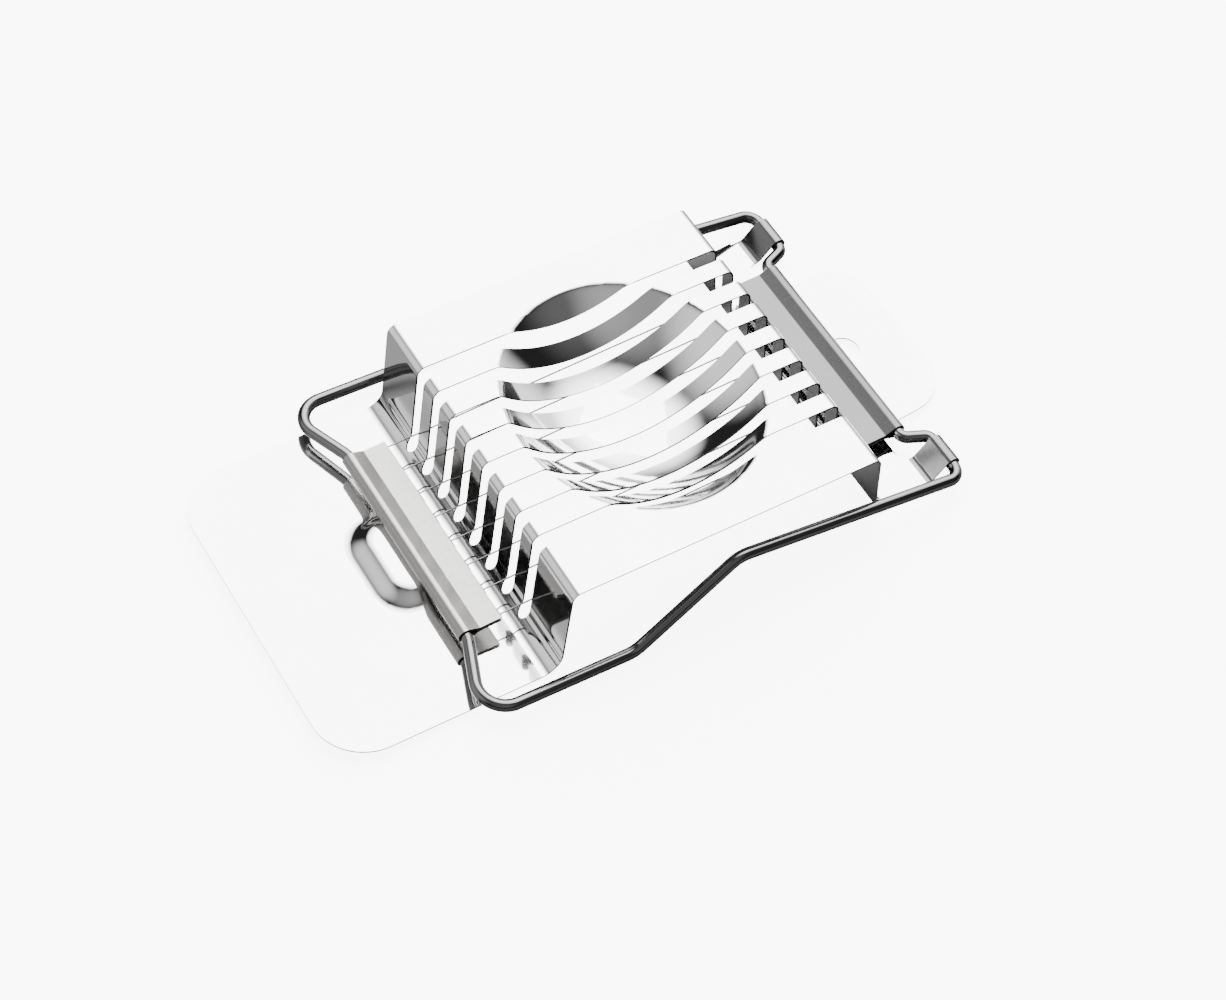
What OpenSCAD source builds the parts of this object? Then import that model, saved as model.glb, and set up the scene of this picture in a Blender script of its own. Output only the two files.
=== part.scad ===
// Wire egg slicer: a pressed steel base with an egg cup, and a hinged cutting
// frame of round rod whose two folded clamps hold eight cutting wires.
//
// The pieces are drawn on the "sheet plane": X runs from the front tab to the hinge,
// Z is zero on the front tab's top face, and X is zero at the middle of the platform.
// on_table() then leans the slicer back until both feet of the base stand on Z = 0.

/* [Sheet] */
// Width of the base across the wires
base_w = 86; // [80:0.5:96]
// Thickness of the pressed sheet
sheet_t = 0.5; // [0.4:0.05:0.8]
// Radius of the two feet, on the top face
foot_r = 5; // [3:0.5:6]
// Radius of the platform's two shoulders, on the top face
shoulder_r = 2.6; // [1.6:0.2:4]

/* [Platform] */
// Height of the platform above the front tab
platform_h = 27.5; // [24:0.5:34]
// Length of the platform between its sharp shoulders
platform_len = 81.5; // [78:0.5:98]
// Lean of the front wall, from upright
front_wall_lean = 3.3; // [1:0.1:8]
// Lean of the rear wall, from upright
rear_wall_lean = 4.9; // [1:0.1:8]

/* [Front tab] */
// Length of the front tab, from the front wall's foot to its edge
front_tab_len = 55.8; // [50:0.2:68]
// Corner radius of the front tab
front_corner_r = 13; // [6:0.5:20]

/* [Rear shelf and tab] */
// Height of the rear wall's foot above the front tab
rear_foot_h = 4.9; // [3.5:0.1:6]
// Upward slope of the rear shelf
shelf_slope = 7.3; // [4:0.1:9]
// Length of the full-width rear shelf, from the rear foot to its edge
shelf_len = 13.3; // [12.5:0.1:15]
// Length of the rear tab past the shelf's edge
rear_tab_len = 21.3; // [19:0.1:30]
// Width of the rear tab
rear_tab_w = 47.2; // [36:0.2:52]
// Corner radius of the rear tab
rear_corner_r = 10; // [5:0.5:14]
// Fillet where the rear tab meets the shelf
tab_fillet_r = 3.5; // [1:0.5:4]
// Diameter of the hanging hole
hang_hole_d = 9; // [5:0.2:10]
// Distance of the hanging hole's centre past the shelf's edge
hang_hole_in = 5.2; // [5:0.1:8]

/* [Egg cup] */
// Size of the cup's rim along the wires
cup_len = 59; // [50:0.5:64]
// Size of the cup's rim across the wires
cup_w = 67; // [60:0.5:72]
// Depth of the cup
cup_depth = 14; // [10:0.2:14.5]

/* [Slots and wires] */
// Number of slots, and of wires
wire_count = 8; // [8]
// Distance between neighbouring wires
wire_pitch = 7.66; // [6:0.02:8]
// Width of each slot
slot_w = 3.4; // [2.4:0.1:4]
// Height of the slots' front ends above the front tab
slot_front_z = 1; // [0.8:0.1:3]
// Height of the slots' rear ends above the front tab
slot_rear_z = 6.6; // [6.2:0.1:7.4]
// Diameter of a wire
wire_d = 0.4; // [0.3:0.05:0.6]

/* [Stop pad] */
// Length of the pressed stop pad, across the wires
pad_len = 27; // [24:0.5:40]
// Width of the stop pad
pad_w = 16.4; // [14:0.2:18]
// Width of the stop pad's sloping side
pad_side = 3.4; // [2:0.1:4]
// Distance of the stop pad's middle ahead of the front bar
pad_ahead = 2.4; // [0:0.1:4]

/* [Frame rod] */
// Diameter of the frame's rod
rod_d = 3; // [2.4:0.1:3.4]
// Height of the front bar's centre above the front tab
front_bar_z = 5; // [4.4:0.1:6.2]
// Distance of the front bar ahead of the front wall's foot
front_bar_ahead = 16; // [15:0.2:20]
// Half width of the front loop
front_loop_y = 48.3; // [47.5:0.1:52]
// Distance of the front corners ahead of the front bar
corner_ahead = 7.3; // [5:0.1:9]
// Height of the front corners above the front tab
corner_z = 3.7; // [3.4:0.1:5]
// Bend radius of the front corners
corner_r = 6.5; // [4:0.5:9]
// Distance of the step's lower bend behind the platform's middle, negative ahead of it
step_low_x = -26; // [-30:0.5:-20]
// Height of the step's lower bend
step_low_z = 2.5; // [2.4:0.1:5]
// Distance of the step's upper bend behind the platform's middle
step_high_x = 1.2; // [-2:0.2:8]
// Height of the step's upper bend
step_high_z = 19.2; // [15:0.2:22]
// Bend radius of the step
step_r = 7; // [4:0.5:9]

/* [Hinge] */
// Height of the hinge pin's centre above the shelf under it
pin_lift = 2.4; // [2.3:0.05:3.2]
// Distance of the hinge pin behind the knuckles' roots
pin_behind_root = 5.3; // [4.9:0.1:6]
// Distance of the knuckles' roots behind the shelf's edge
root_behind_edge = 2.9; // [2:0.1:3.5]
// Width of each knuckle
knuckle_w = 8; // [6:0.2:9]
// Distance of a knuckle's outer end in from the base's side
knuckle_in = 0.6; // [0.5:0.1:1.5]
// Radial gap between the rod and a knuckle
hinge_gap = 0.08; // [0.05:0.01:0.1]
// Angle that a knuckle wraps round the rod, past its ramp
knuckle_wrap = 250; // [210:5:270]
// Distance of the rod's rear sides out from the base's sides
rear_side_out = 3.3; // [2.4:0.1:5]
// Bend radius of the rod's rear corners
rear_corner_bend_r = 3.6; // [3:0.1:3.6]

/* [Wire clamps] */
// Length of each folded clamp
clamp_len = 56.4; // [55.5:0.2:57]
// Distance from the rod's centre to a clamp's free edge
clamp_reach = 9.1; // [7:0.1:10.5]
// Distance from the rod's centre to where a clamp's two leaves close on the wires
clamp_neck = 3.5; // [2.6:0.1:4.4]
// Thickness of the clamps' strip
clamp_t = 0.5; // [0.4:0.05:0.6]
// Radial gap between the rod and a clamp
clamp_gap = 0.03; // [0.02:0.01:0.05]
// Distance of the rear bar ahead of the hinge pin
rear_bar_ahead = 6.1; // [5.6:0.1:7]
// Bend radius of the rod between a knuckle and the rear clamp
jog_r = 2.2; // [2:0.1:2.4]
// Angle that the rod turns through at each of those bends
jog_turn = 67; // [65:1:75]
// Length of each wire's end that a clamp grips
wire_grip = 6; // [3:0.5:6.5]

/* [Hidden] */

$fn = 72;
// Length of the cutting tools past what they cut
over = 1;
// Gap between the closed frame and the stop pad
stop_gap = 0.1;
// Bend radius where a knuckle leaves the shelf, on the top face
root_r = 2;
// Length of shelf that a knuckle laps before its bend
knuckle_lead = 3;
// Fillet between a knuckle and the shelf's edge
notch_r = 1.6;
// Bend radius of the rod beside the front clamp
front_bend_r = 8;
// Straight rod between the front clamp's end and the bend beside it
clamp_clear = 0.8;
// Straight rod between a knuckle's inner end and the bend beside it
knuckle_clear = 0.2;
// Gap between the rod's two ends, inside the rear clamp
rod_end_gap = 1;
// How much less stands on each face of a bend or a knuckle than of the straight stretch that
// it comes out of, and how far the straight stretches lap over their bends
bend_thin = 0.005;
run_lap = 0.05;
// Angle over which a knuckle's ramp and wrap run into each other
knuckle_lap = 4;
// Angle over which a clamp's wrap runs inside the ramp beside it, and how much less stands on
// each face of the wrap than of the ramp
clamp_lap = 2;
clamp_thin = 0.015;

rod_r = rod_d / 2;
wire_r = wire_d / 2;

// --- Side outline of the sheet's top face, in X and Z ---------------------------------
front_top_x = -platform_len / 2;
rear_top_x = platform_len / 2;
front_foot_x = front_top_x - platform_h * tan(front_wall_lean);
rear_foot_x = rear_top_x + (platform_h - rear_foot_h) * tan(rear_wall_lean);
front_edge_x = front_foot_x - front_tab_len;
shelf_edge_x = rear_foot_x + shelf_len;
rear_edge_x = shelf_edge_x + rear_tab_len;

function shelf_z(x) = rear_foot_h + (x - rear_foot_x) * tan(shelf_slope);

SIDE = [[front_edge_x, 0], [front_foot_x, 0], [front_top_x, platform_h],
        [rear_top_x, platform_h], [rear_foot_x, rear_foot_h],
        [rear_edge_x, shelf_z(rear_edge_x)]];
SIDE_R = [0, foot_r, shoulder_r, shoulder_r, foot_r, 0];

// --- Bends of a path: every function works in two and in three dimensions ---------------
function unit(v) = v / norm(v);
function turn_angle(a, b, c) = acos(unit(b - a) * unit(c - b));
function bend_reach(a, b, c, r) = r * tan(turn_angle(a, b, c) / 2);
function bend_start(a, b, c, r) = b - unit(b - a) * bend_reach(a, b, c, r);
function bend_end(a, b, c, r) = b + unit(c - b) * bend_reach(a, b, c, r);
function bend_centre(a, b, c, r) =
    b + unit(unit(a - b) + unit(c - b)) * r / cos(turn_angle(a, b, c) / 2);
// Ends of the straight stretch that follows point i of a path
function run_start(p, r, i) = i == 0 ? p[0] : bend_end(p[i - 1], p[i], p[i + 1], r[i]);
function run_end(p, r, i) =
    i == len(p) - 2 ? p[i + 1] : bend_start(p[i], p[i + 1], p[i + 2], r[i + 1]);
// Left-hand normal of a direction, and which way a path turns at its middle point
function left(v) = [-v[1], v[0]];
function turn_sign(a, b, c) = sign(left(b - a) * (c - b));

// Part of v square to the unit vector along a to b, and the roll about the stretch after
// point i + 1 that turns the bend at its start to face the bend at its end
function square_to(v, a, b) = unit(v - (v * unit(b - a)) * unit(b - a));
function roll(p, i) = i > len(p) - 4 ? 0 :
    let (before = square_to(p[i] - p[i + 1], p[i + 1], p[i + 2]),
         after = square_to(p[i + 3] - p[i + 2], p[i + 1], p[i + 2]))
    atan2(cross(before, after) * unit(p[i + 2] - p[i + 1]), before * after);

// --- Lean of the slicer on the table ----------------------------------------------------
front_foot_c = bend_centre(SIDE[0], SIDE[1], SIDE[2], foot_r);
rear_foot_c = bend_centre(SIDE[3], SIDE[4], SIDE[5], foot_r);
foot_gap = rear_foot_c - front_foot_c;
lean = atan2(foot_gap[1], foot_gap[0]);
function leaned(p) = [p[0] * cos(lean) + p[1] * sin(lean), -p[0] * sin(lean) + p[1] * cos(lean)];
table_z = leaned(front_foot_c)[1] - foot_r - sheet_t;
lowest_x = leaned(SIDE[0])[0];
highest_x = leaned(SIDE[5])[0];
centre_x = (lowest_x + highest_x) / 2;

// --- Hinge and frame places -------------------------------------------------------------
root_x = shelf_edge_x + root_behind_edge;
root_p = [root_x, shelf_z(root_x)];
pin_p = [root_x + pin_behind_root, shelf_z(root_x + pin_behind_root) + pin_lift];
knuckle_y = base_w / 2 - knuckle_in - knuckle_w / 2;
knuckle_inner_r = rod_r + hinge_gap;
knuckle_outer_r = knuckle_inner_r + sheet_t;
// Ramp of a knuckle: the angle at which it rises and the point where it meets the rod's wrap
to_pin = pin_p - root_p;
ramp_angle = atan2(to_pin[1], to_pin[0]) + asin(knuckle_outer_r / norm(to_pin));
ramp_end = pin_p + knuckle_outer_r * [-sin(ramp_angle), cos(ramp_angle)];
KNUCKLE = [root_p - knuckle_lead * [cos(shelf_slope), sin(shelf_slope)], root_p, ramp_end];
KNUCKLE_R = [0, root_r, 0];
knuckle_start = bend_start(KNUCKLE[0], KNUCKLE[1], KNUCKLE[2], root_r);
front_bar_p = [front_foot_x - front_bar_ahead, front_bar_z];
rear_bar_p = [pin_p[0] - rear_bar_ahead, pin_p[1]];
rear_side_y = base_w / 2 + rear_side_out;
clamp_outer_r = rod_r + clamp_gap + clamp_t;
pad_h = front_bar_z - clamp_outer_r - stop_gap;
jog_out_y = knuckle_y - knuckle_w / 2 - knuckle_clear - jog_r * tan(jog_turn / 2);
jog_in_y = jog_out_y - rear_bar_ahead / tan(jog_turn);
bar_vector = rear_bar_p - front_bar_p;
wire_slope = atan2(bar_vector[1], bar_vector[0]);

function xyz(p, y) = [p[0], y, p[1]];

// Half of the rod's closed loop, from the front bar's middle to the rear bar's middle
ROD = [xyz(front_bar_p, 0),
       xyz(front_bar_p, clamp_len / 2 + clamp_clear),
       [front_bar_p[0] - corner_ahead, front_loop_y, corner_z],
       [step_low_x, front_loop_y, step_low_z],
       [step_high_x, rear_side_y, step_high_z],
       xyz(pin_p, rear_side_y),
       xyz(pin_p, jog_out_y),
       xyz(rear_bar_p, jog_in_y),
       xyz(rear_bar_p, rod_end_gap / 2)];
ROD_R = [0, front_bend_r, corner_r, step_r, step_r, rear_corner_bend_r, jog_r, jog_r, 0];

// ---------------------------------------------------------------------------------------
// Shared shapes

// Leans the slicer back on its feet, with its middle over the origin
module on_table() {
    translate([-centre_x, 0, -table_z]) rotate([0, lean, 0]) children();
}

// Stands a shape drawn in X and Z up, and gives it a width along Y
module across(width) {
    rotate([90, 0, 0]) linear_extrude(width, center = true) children();
}

// Part of a round bend of the sheet that lies inside the wedge from p to q
module bend_sector(c, p, q, inner, outer) {
    // Reach of the wedge, in bend radii
    far = 3;
    intersection() {
        translate(c) difference() {
            circle(outer);
            circle(inner);
        }
        polygon([c, c + far * (p - c), c + far * (p - c) + far * (q - c), c + far * (q - c)]);
    }
}

// Straight stretch of the sheet whose top face runs from p to q, with thin taken off both
// faces. It laps over what it meets at both ends
module sheet_run(p, q, thin) {
    along = unit(q - p);
    down = -left(along);
    start = p - along * run_lap;
    end = q + along * run_lap;
    polygon([start + down * thin, end + down * thin,
             end + down * (sheet_t - thin), start + down * (sheet_t - thin)]);
}

// Side outline of a sheet whose top face follows path p, with bend radii r. Where it runs
// inside another sheet, thin takes a little off both faces
module sheet_outline(p, r, thin = 0) {
    for (i = [0 : len(p) - 2]) sheet_run(run_start(p, r, i), run_end(p, r, i), thin);
    for (i = [1 : len(p) - 2]) {
        side = turn_sign(p[i - 1], p[i], p[i + 1]);
        bend_sector(bend_centre(p[i - 1], p[i], p[i + 1], r[i]),
                    bend_start(p[i - 1], p[i], p[i + 1], r[i]),
                    bend_end(p[i - 1], p[i], p[i + 1], r[i]),
                    min(r[i], r[i] + side * sheet_t) + thin + bend_thin,
                    max(r[i], r[i] + side * sheet_t) - thin - bend_thin);
    }
}

// Length of the straight stretch that follows point i of a path
function run_len(p, r, i) = norm(run_end(p, r, i) - run_start(p, r, i));

// Rest of a bar along path p with bend radii r, from the end of the run after point i on. It
// is drawn as a bending machine makes it: bend towards X, roll to face the next bend, run up Z
module bent_bar(p, r, d, i = 0) {
    bend = turn_angle(p[i], p[i + 1], p[i + 2]);
    bend_r = r[i + 1];
    run = run_len(p, r, i + 1);
    translate([bend_r, 0, 0]) rotate([90, 0, 180])
        rotate_extrude(angle = bend) translate([bend_r, 0]) circle(d = d - 2 * bend_thin);
    translate([bend_r * (1 - cos(bend)), 0, bend_r * sin(bend)])
        rotate([0, bend, 0]) rotate([0, 0, roll(p, i)]) {
            last = i == len(p) - 3;
            translate([0, 0, -run_lap]) cylinder(h = run + run_lap * (last ? 1 : 2), d = d);
            if (!last) translate([0, 0, run]) bent_bar(p, r, d, i + 1);
        }
}

// ---------------------------------------------------------------------------------------
// Base plate

// Strip from x0 to x1, 2 * half_w wide, with its two corners at x1 rounded
module rounded_end(x0, x1, half_w, r) {
    dir = sign(x1 - x0);
    translate([min(x0, x1 - dir * r), -half_w]) square([abs(x1 - dir * r - x0), 2 * half_w]);
    translate([min(x1, x1 - dir * r), -half_w + r]) square([r, 2 * (half_w - r)]);
    for (s = [-1, 1]) translate([x1 - dir * r, s * (half_w - r)]) circle(r);
}

// Concave fillet of radius r in the corner that opens towards +X and s * Y
module inside_fillet(r, s) {
    difference() {
        translate([-over, s > 0 ? -over : -r]) square([r + over, r + over]);
        translate([r, s * r]) circle(r);
    }
}

// Outline of the base seen from above, with square ends where the knuckles begin
module plan_outline() {
    half = base_w / 2;
    inner = knuckle_y - knuckle_w / 2;
    rounded_end(0, front_edge_x, half, front_corner_r);
    translate([0, -half]) square([shelf_edge_x, base_w]);
    rounded_end(0, rear_edge_x, rear_tab_w / 2, rear_corner_r);
    for (s = [-1, 1]) {
        translate([shelf_edge_x, s * rear_tab_w / 2]) inside_fillet(tab_fillet_r, s);
        translate([shelf_edge_x, s * inner]) inside_fillet(notch_r, -s);
        translate([0, s * knuckle_y - knuckle_w / 2])
            square([knuckle_start[0], knuckle_w]);
    }
}

// Side outline of a knuckle, with its mouth towards the shelf
module knuckle_outline() {
    mouth = 360 - knuckle_wrap;
    mouth_start = 90 + ramp_angle + knuckle_lap;
    sheet_outline(KNUCKLE, KNUCKLE_R, bend_thin);
    difference() {
        translate(pin_p) circle(knuckle_outer_r - 2 * bend_thin);
        translate(pin_p) circle(knuckle_inner_r + bend_thin);
        translate(pin_p) polygon([[0, 0],
            for (i = [0 : 4]) knuckle_outer_r * 2
                * [cos(mouth_start + mouth * i / 4), sin(mouth_start + mouth * i / 4)]]);
    }
}

// The two curled knuckles that the rod turns in
module knuckles() {
    for (s = [-1, 1]) translate([0, s * knuckle_y, 0]) across(knuckle_w) knuckle_outline();
}

// Solid of the cup's inner face, or of its outer face where grow is the sheet's thickness
module cup_solid(grow) {
    half_w = cup_w / 2;
    half_len = cup_len / 2;
    // Radius of the cup's round section across the wires, at the middle
    section_r = (pow(half_w, 2) + pow(cup_depth, 2)) / (2 * cup_depth);
    // Radius of the cup's long curve along the wires
    curve_r = (pow(half_len, 2) + pow(cup_depth, 2)) / (2 * cup_depth);
    translate([0, 0, platform_h + section_r - cup_depth]) rotate([0, 90, 0])
        rotate_extrude() intersection() {
            translate([section_r - curve_r, 0]) circle(curve_r + grow);
            translate([0, -cup_len]) square([2 * section_r, 2 * cup_len]);
        }
}

// Part of the cup's shell that hangs under the platform
module cup_shell() {
    intersection() {
        cup_solid(sheet_t);
        translate([-cup_len, -cup_w, platform_h - 2 * cup_depth])
            cube([2 * cup_len, 2 * cup_w, 2 * cup_depth]);
    }
}

// Oblong pad with sloping sides, whose top lies h above z
module pad_solid(z, h) {
    half_w = pad_w / 2;
    end_y = pad_len / 2 - half_w;
    translate([front_bar_p[0] - pad_ahead, 0, z]) {
        for (s = [-1, 1]) translate([0, s * end_y, 0])
            cylinder(h = h, r1 = half_w, r2 = half_w - pad_side);
        across(2 * end_y)
            polygon([[-half_w, 0], [half_w, 0], [half_w - pad_side, h], [pad_side - half_w, h]]);
    }
}

// Room that one slot takes through both walls and the platform
module slot_cut() {
    x0 = front_foot_x - foot_r - over;
    x1 = rear_foot_x + foot_r + over;
    for (end = [[x0, -x0, slot_front_z], [0, x1, slot_rear_z]]) {
        bottom = end[2] + slot_w / 2;
        translate([end[0], 0, bottom]) rotate([0, 90, 0]) cylinder(h = end[1], d = slot_w);
        translate([end[0], -slot_w / 2, bottom]) cube([end[1], slot_w, platform_h]);
    }
}

function wire_y(i) = (i - (wire_count - 1) / 2) * wire_pitch;

module base_plate() {
    on_table() color("gainsboro") difference() {
        union() {
            intersection() {
                across(base_w + 2 * over) sheet_outline(SIDE, SIDE_R);
                translate([0, 0, -platform_h]) linear_extrude(3 * platform_h) plan_outline();
            }
            knuckles();
            cup_shell();
            pad_solid(0, pad_h);
        }
        cup_solid(0);
        pad_solid(-sheet_t, pad_h);
        for (i = [0 : wire_count - 1]) translate([0, wire_y(i), 0]) slot_cut();
        translate([shelf_edge_x + hang_hole_in, 0, shelf_z(shelf_edge_x + hang_hole_in)])
            rotate([0, -shelf_slope, 0]) cylinder(h = 4 * over, d = hang_hole_d, center = true);
    }
}

// ---------------------------------------------------------------------------------------
// Cutting frame

// The rod runs both ways from the front bar, and its two ends stop just short of each other
// inside the rear clamp
module frame_rod() {
    to_bend = square_to(ROD[2] - ROD[1], ROD[0], ROD[1]);
    front_run = run_len(ROD, ROD_R, 0);
    on_table() color("dimgray") {
        translate(ROD[0]) rotate([90, 0, 0])
            cylinder(h = 2 * (front_run + run_lap), d = rod_d, center = true);
        for (s = [0, 1]) mirror([0, s, 0]) translate(ROD[0] + [0, front_run, 0])
            rotate([-90, atan2(-to_bend[2], to_bend[0]), 0]) bent_bar(ROD, ROD_R, rod_d);
    }
}

// Strip folded round the rod. A ramp on each side leads down from the wrap to a leaf, and the
// two leaves are pressed together on the wires. Wrap and leaves are drawn a little thinner than
// the ramps, and run inside them
module clamp_outline() {
    inner = rod_r + clamp_gap;
    leaf_z = wire_r + clamp_t;
    neck = [clamp_neck, leaf_z];
    // Angle round the rod at which a ramp leaves the wrap, and the ramp's slope
    touch = atan2(leaf_z, clamp_neck) + acos(clamp_outer_r / norm(neck));
    slope = 90 - touch;
    out = [cos(touch), sin(touch)];
    back = run_lap * [-sin(touch), cos(touch)];
    mouth = touch - clamp_lap;
    far = 2 * clamp_outer_r;
    leaf_x = clamp_neck - run_lap;
    difference() {
        circle(clamp_outer_r - clamp_thin);
        circle(inner + clamp_thin);
        polygon([[0, 0], far * [cos(mouth), -sin(mouth)], far * [1, -sin(mouth)],
                 far * [1, sin(mouth)], far * [cos(mouth), sin(mouth)]]);
    }
    for (s = [0, 1]) mirror([0, s]) {
        polygon([inner * out + back, [clamp_neck - clamp_t * tan(slope / 2), wire_r],
                 neck, clamp_outer_r * out + back]);
        translate([leaf_x, wire_r + bend_thin])
            square([clamp_reach - leaf_x, clamp_t - 2 * bend_thin]);
    }
}

// Places a shape on the line between the two bars, with its origin on the front bar
module on_wire_line() {
    translate(xyz(front_bar_p, 0)) rotate([0, -wire_slope, 0]) children();
}

module front_clamp() {
    on_table() color("lightgray") on_wire_line() across(clamp_len) clamp_outline();
}

module rear_clamp() {
    on_table() color("darkgray") on_wire_line() translate([norm(bar_vector), 0, 0])
        mirror([1, 0, 0]) across(clamp_len) clamp_outline();
}

module wire(i) {
    start = clamp_reach - wire_grip;
    on_table() color("silver") on_wire_line() translate([start, wire_y(i), 0])
        rotate([0, 90, 0]) cylinder(h = norm(bar_vector) - 2 * start, d = wire_d);
}

base_plate();
frame_rod();
front_clamp();
rear_clamp();
wire(0);  // wire_1
wire(1);  // wire_2
wire(2);  // wire_3
wire(3);  // wire_4
wire(4);  // wire_5
wire(5);  // wire_6
wire(6);  // wire_7
wire(7);  // wire_8
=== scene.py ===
"""Looks of a wire egg slicer: polished pressed base, bent rod frame, folded clamps and wires.

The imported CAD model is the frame. Each visible piece is rebuilt here as a finer mesh in the
same place: the sheet with its drawn cup and rolled edges, the rod as a tube along its bends,
the clamps as folded strip, and the wires in a row.
"""
import logging
import math
from dataclasses import dataclass, field
from enum import Enum

import bpy
import numpy as np
from mathutils import Matrix, Vector


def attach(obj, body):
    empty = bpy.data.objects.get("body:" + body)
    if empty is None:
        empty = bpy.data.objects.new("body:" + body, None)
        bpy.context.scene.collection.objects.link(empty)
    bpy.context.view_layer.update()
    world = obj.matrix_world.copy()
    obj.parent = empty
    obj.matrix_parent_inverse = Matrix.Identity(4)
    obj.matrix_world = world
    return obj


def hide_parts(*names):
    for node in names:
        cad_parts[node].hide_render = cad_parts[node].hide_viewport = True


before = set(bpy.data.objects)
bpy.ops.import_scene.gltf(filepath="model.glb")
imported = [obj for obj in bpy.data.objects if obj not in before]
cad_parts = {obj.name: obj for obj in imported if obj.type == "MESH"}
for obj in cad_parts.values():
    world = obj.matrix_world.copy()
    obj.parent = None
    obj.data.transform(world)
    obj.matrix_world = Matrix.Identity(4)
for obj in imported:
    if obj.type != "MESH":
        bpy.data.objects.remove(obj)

LOG = logging.getLogger("egg_slicer")
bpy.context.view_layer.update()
MM = 0.001
# Distance within which two points of neighbouring patches are one, in millimetres
WELD = 0.002
# How far the sheet's underside and the rod's skin stay inside the CAD's, in millimetres
SKIN = 0.006


class Body(Enum):
    """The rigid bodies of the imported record."""

    BASE = "base"
    CUTTING_FRAME = "cutting_frame"


class Slot(Enum):
    """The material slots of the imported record."""

    SHEET = "polished_sheet"
    ROD = "bright_rod"
    STRIP = "satin_strip"
    WIRE = "wire_steel"


# --------------------------------------------------------------------------------------
# Paths made of straight runs and round bends


def unit(v: np.ndarray) -> np.ndarray:
    """Return v at length one."""
    return v / np.linalg.norm(v)


def round_corners(points: list, radii: list, step: float) -> np.ndarray:
    """Turn a path of corners into a path of straight runs and round bends.

    Args:
        points: corners, in two or three dimensions.
        radii: bend radius at each corner, ignored at both ends.
        step: angle between neighbouring points of a bend, in radians.

    Returns:
        The rounded path's points, one per row.
    """
    corners = [np.array(p, float) for p in points]
    path = [corners[0]]
    for a, b, c, r in zip(corners, corners[1:], corners[2:], radii[1:]):
        back, on = unit(a - b), unit(c - b)
        turn = math.pi - math.acos(float(np.clip(back @ on, -1, 1)))
        if turn < step / 8 or r == 0:
            path.append(b)
            continue
        reach = r * math.tan(turn / 2)
        start = b + back * reach
        inward = unit(on - (on @ back) * back)
        for angle in np.linspace(0, turn, max(2, math.ceil(turn / step)) + 1):
            path.append(start - back * r * math.sin(angle) + inward * r * (1 - math.cos(angle)))
    path.append(corners[-1])
    return np.array(path)


@dataclass
class Outline:
    """A smooth side outline in X and Z that can be read at any length along it."""

    points: np.ndarray

    def __post_init__(self) -> None:
        """Measure the length along the outline and its left-hand normals."""
        steps = np.linalg.norm(np.diff(self.points, axis=0), axis=1)
        self.length = np.concatenate([[0], np.cumsum(steps)])
        along = np.gradient(self.points, self.length, axis=0)
        along /= np.linalg.norm(along, axis=1)[:, None]
        self.normals = np.stack([-along[:, 1], along[:, 0]], axis=1)

    def at(self, s: np.ndarray) -> tuple[np.ndarray, np.ndarray]:
        """Read the outline at some lengths.

        Args:
            s: lengths along the outline.

        Returns:
            The points and the unit normals there.
        """
        point = np.stack([np.interp(s, self.length, self.points[:, i]) for i in (0, 1)], -1)
        normal = np.stack([np.interp(s, self.length, self.normals[:, i]) for i in (0, 1)], -1)
        return point, normal / np.linalg.norm(normal, axis=-1, keepdims=True)

    def length_at(self, value: float, axis: int, after: float, before: float) -> np.ndarray:
        """Find where a stretch of the outline reaches a value.

        Args:
            value: place looked for, or an array of them.
            axis: 0 for X, 1 for Z.
            after: length at which the stretch starts.
            before: length at which it ends. The outline runs one way between the two.

        Returns:
            The length along the outline.
        """
        s = np.linspace(after, before, 400)
        places = self.at(s)[0][:, axis]
        if places[0] > places[-1]:
            s, places = s[::-1], places[::-1]
        return np.interp(value, places, s)


# --------------------------------------------------------------------------------------
# Meshes


def mesh_object(name: str, verts: np.ndarray, faces: list, edge: float = 0.0,
                finishes: list | None = None) -> bpy.types.Object:
    """Make a mesh object from closed faces, with its cut edges softened.

    Args:
        name: the piece's name.
        verts: places in metres.
        faces: lists of vertex numbers, with normals outwards.
        edge: width of the small round along sharp edges, in metres, or 0 for none.
        finishes: each face's material number, or None where all take the first.

    Returns:
        The object, smooth shaded, with its modifiers applied.
    """
    mesh = bpy.data.meshes.new(name)
    mesh.from_pydata(verts.tolist(), [], faces)
    if finishes:
        mesh.polygons.foreach_set("material_index", finishes)
    mesh.shade_smooth()
    obj = bpy.data.objects.new(name, mesh)
    bpy.context.scene.collection.objects.link(obj)
    if edge > 0:
        bevel = obj.modifiers.new("Soft edge", "BEVEL")
        bevel.width = edge
        bevel.segments = 2
        bevel.limit_method = "ANGLE"
        bevel.angle_limit = math.radians(50)
        bevel.harden_normals = True
        bake_modifiers(obj)
    return obj


def bake_modifiers(obj: bpy.types.Object) -> None:
    """Replace an object's data by its evaluated mesh and remove its modifiers.

    Args:
        obj: the object.
    """
    depsgraph = bpy.context.evaluated_depsgraph_get()
    baked = bpy.data.meshes.new_from_object(obj.evaluated_get(depsgraph), depsgraph=depsgraph)
    obj.modifiers.clear()
    obj.data = baked


def evaluated_mesh(name: str, source: bpy.types.Object) -> bpy.types.Object:
    """Make a plain mesh object from what an object with Geometry Nodes gives.

    Args:
        name: the new piece's name.
        source: the object with the modifier, which is removed.

    Returns:
        The new object.
    """
    depsgraph = bpy.context.evaluated_depsgraph_get()
    mesh = bpy.data.meshes.new_from_object(source.evaluated_get(depsgraph), depsgraph=depsgraph)
    mesh.name = name
    bpy.data.objects.remove(source)
    obj = bpy.data.objects.new(name, mesh)
    bpy.context.scene.collection.objects.link(obj)
    return obj


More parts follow.
